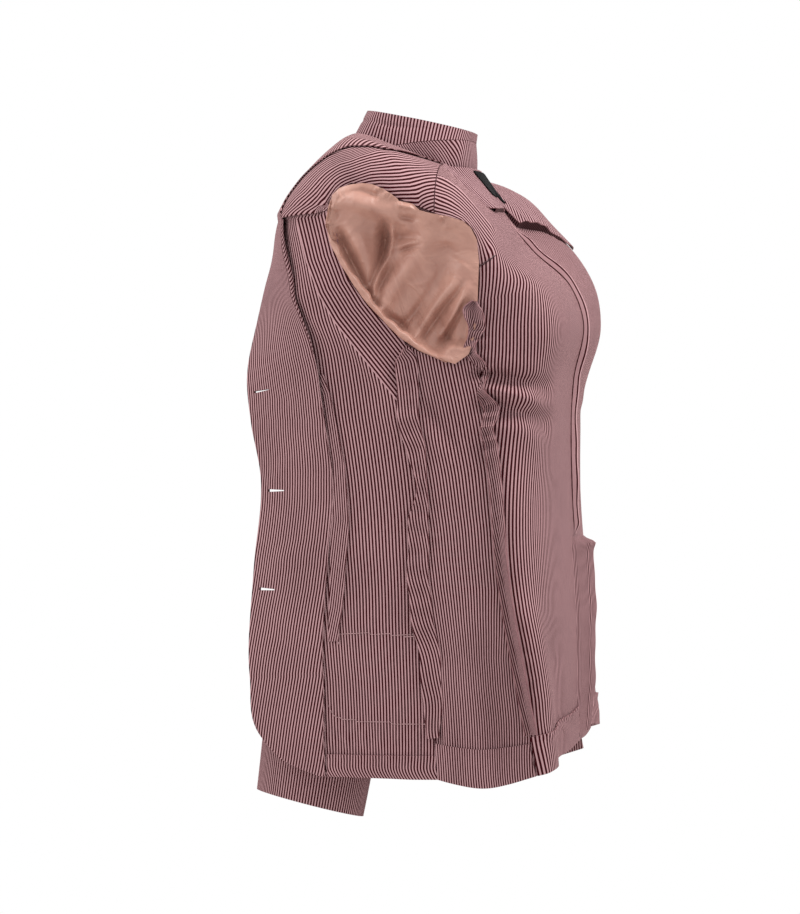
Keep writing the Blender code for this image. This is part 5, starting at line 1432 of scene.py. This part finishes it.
# Dart beside the facing, pressed flat, and the pocket's sewing that shows through as small stitches.
dart = {"inner": [(319, 372), (327, 420), (331, 480), (331, 560), (329, 640)], "columns": 9, "flat": (14, 262),
        "outer": [(321, 372), (331, 392), (344, 460), (350, 520), (347, 560), (343, 610), (338, 642)]}
sewnLines = [[(336, 634), (360, 633), (400, 635), (436, 634)],
             [(329, 706), (333, 714), (342, 719), (372, 722), (412, 724), (430, 725), (440, 718), (446, 704)]]
bartacks = [[(338, 634), (339, 645)], [(404, 636), (424, 635)], [(436, 604), (436, 613)], [(424, 725),
                                                                                           (440, 724)]]
backDartSewn = [(478, 267.5), (487, 261.5), (495, 255.5)]
stitch = {"long": 2.4, "gap": 1.1, "half": 0.34, "out": 0.4, "points": 400,
          "section": [(-1.0, 0.0), (-0.6, 0.8), (0.0, 1.0), (0.6, 0.8), (1.0, 0.0)]}  # across, up


def buildDart(name, half, sign):
    front = half["front"]
    heights = np.linspace(374.0, 641.0, 90)
    trial = rowsDown(front.knots[7], front.length, 2.0)
    level = np.interp(heights, seenAt(front.base(trial, 0.55))[:, 1], trial)
    low = front.shareOnLine(level, dart["inner"])
    high = np.maximum(front.shareOnLine(level, dart["outer"]), low + 0.004)
    part = np.linspace(0.0, 1.0, dart["columns"])
    shares = low[:, None] + (high - low)[:, None] * part
    wave = 0.5 * np.sin(heights / 11.0) + 0.3 * np.sin(heights / 4.7)
    lift = trimOut + 0.1 + (0.5 + 0.5 * wave[:, None]) * np.sin(np.pi * part) + 0.6 * part ** 3
    grid = front.at(level[:, None], shares, lift, fine=0.0)
    spots = seenAt(grid)
    away, side, travel, _ = alongLine(spots, dart["outer"])
    weave = np.stack([away * side * 1.5 + 0.06 * travel, travel], axis=-1)
    piece = makeCloth("dart" + name, flipped(grid, sign), weave, cloth["trimWall"], stripes,
                      flipped(front.normal(front.length * 0.6, 0.6), sign))
    dress(piece, [])


def threadLine(label, panel, path, sign, material, solid, start=9):
    spots = resample(path, stitch["points"])
    trial = np.stack(np.meshgrid(rowsDown(panel.knots[start], panel.length, 2.0), np.linspace(0.3, 1.0, 120),
                                 indexing="ij"), -1)
    seen = seenAt(panel.base(trial[..., 0], trial[..., 1])).reshape(-1, 2)
    nearest = [int(np.argmin(np.hypot(*(seen - spot).T))) for spot in spots[::8]]
    keys = trial.reshape(-1, 2)[nearest]
    base = resample(panel.at(keys[:, 0], keys[:, 1], stitch["out"] + stitch["half"]), stitch["points"])
    length = np.linalg.norm(np.diff(base, axis=0), axis=1).sum()
    step = stitch["long"] + stitch["gap"]
    count = max(1, int(length / step))
    line = resample(base, count * 5 + 1)
    normal = panel.normal(keys[:, 0].mean(), keys[:, 1].mean())
    along = unit(np.gradient(line, axis=0))
    side = unit(np.cross(along, normal))
    wide = 1.6 if solid else 1.0
    rise = np.tile([0.4, 1.0, 1.0, 0.4, 0.0], count + 1)[:len(line)]
    grid = np.array([line + side * (wide * stitch["half"] * across)
                     + normal * (stitch["half"] * (up * 2.0 - 1.0) + 0.15 * rise[:, None])
                     for across, up in stitch["section"]]).transpose(1, 0, 2)
    weave = np.zeros(grid.shape[:2] + (2,))
    gaps = [] if solid else [(row, 0, 4) for row in range(4, len(line) - 1, 5)]
    piece = makeCloth(label, flipped(grid, sign), weave, 0, material, flipped(normal, sign), slots=gaps)
    dress(piece, [])


for name, half, sign in halves:
    buildPocket(name, half, sign)
    buildDart(name, half, sign)
    threadLine("backDartSewing" + name, half["back"], backDartSewn, sign, threadDark, True, 0)
    for number, path in enumerate(sewnLines):
        threadLine(f"pocketSewing{number + 1}{name}", half["front"], path, sign, threadPale, False)
    for number, path in enumerate(bartacks):
        threadLine(f"bartack{number + 1}{name}", half["front"], path, sign, threadPale, True)
buildButtons()
print("pockets and buttons done")


# Studio: pale floor, white surroundings and broad soft lights.
studio = {"floor": -1.35, "floorWide": 6.0, "lampColour": (1.0, 0.965, 0.94), "lampAim": (0, 0, -0.3),
          "lamps": [("key softbox", (-0.2, -1.35, 1.65), 0.9, 41.0),
                    ("fill softbox", (-0.9, 2.5, 0.5), 1.4, 22.0),
                    ("top softbox", (0.0, 1.2, 1.7), 1.0, 11.0)]}  # metres and watts: name, place, size, power


def buildStudio():
    bpy.ops.object.select_all(action="DESELECT")
    bpy.ops.mesh.primitive_plane_add(size=studio["floorWide"], location=(0, 0, studio["floor"]))
    floor = bpy.context.object
    floor.name = "studioFloor"
    material, tree, shader = newMaterial("pale studio floor")
    setInputs(tree, shader, {}, {"Base Color": linear("#d8d5d3"), "Roughness": 0.9})
    floor.data.materials.append(material)
    world = bpy.data.worlds.new("white studio")
    bpy.context.scene.world = world
    world.use_nodes = True
    sky = world.node_tree.nodes["Background"]
    setInputs(world.node_tree, sky, {}, {"Color": linear("#ffffff"), "Strength": 1.0})
    for name, place, size, power in studio["lamps"]:
        bpy.ops.object.light_add(type="AREA", location=place)
        lamp = bpy.context.object
        lamp.name = name
        lamp.data.size = size
        lamp.data.energy = power
        lamp.data.color = studio["lampColour"]
        lamp.rotation_euler = (Vector(studio["lampAim"]) - Vector(place)).to_track_quat("-Z", "Y").to_euler()
    bpy.ops.object.camera_add(location=viewEye * mm, rotation=(math.pi / 2, 0.0, -math.pi / 2 + turn))
    camera = bpy.context.object
    camera.data.lens = view["focal"]
    camera.data.sensor_width = view["sensor"]
    bpy.context.scene.camera = camera
    bpy.context.scene.view_settings.view_transform = "Standard"


buildStudio()
print("studio lit")
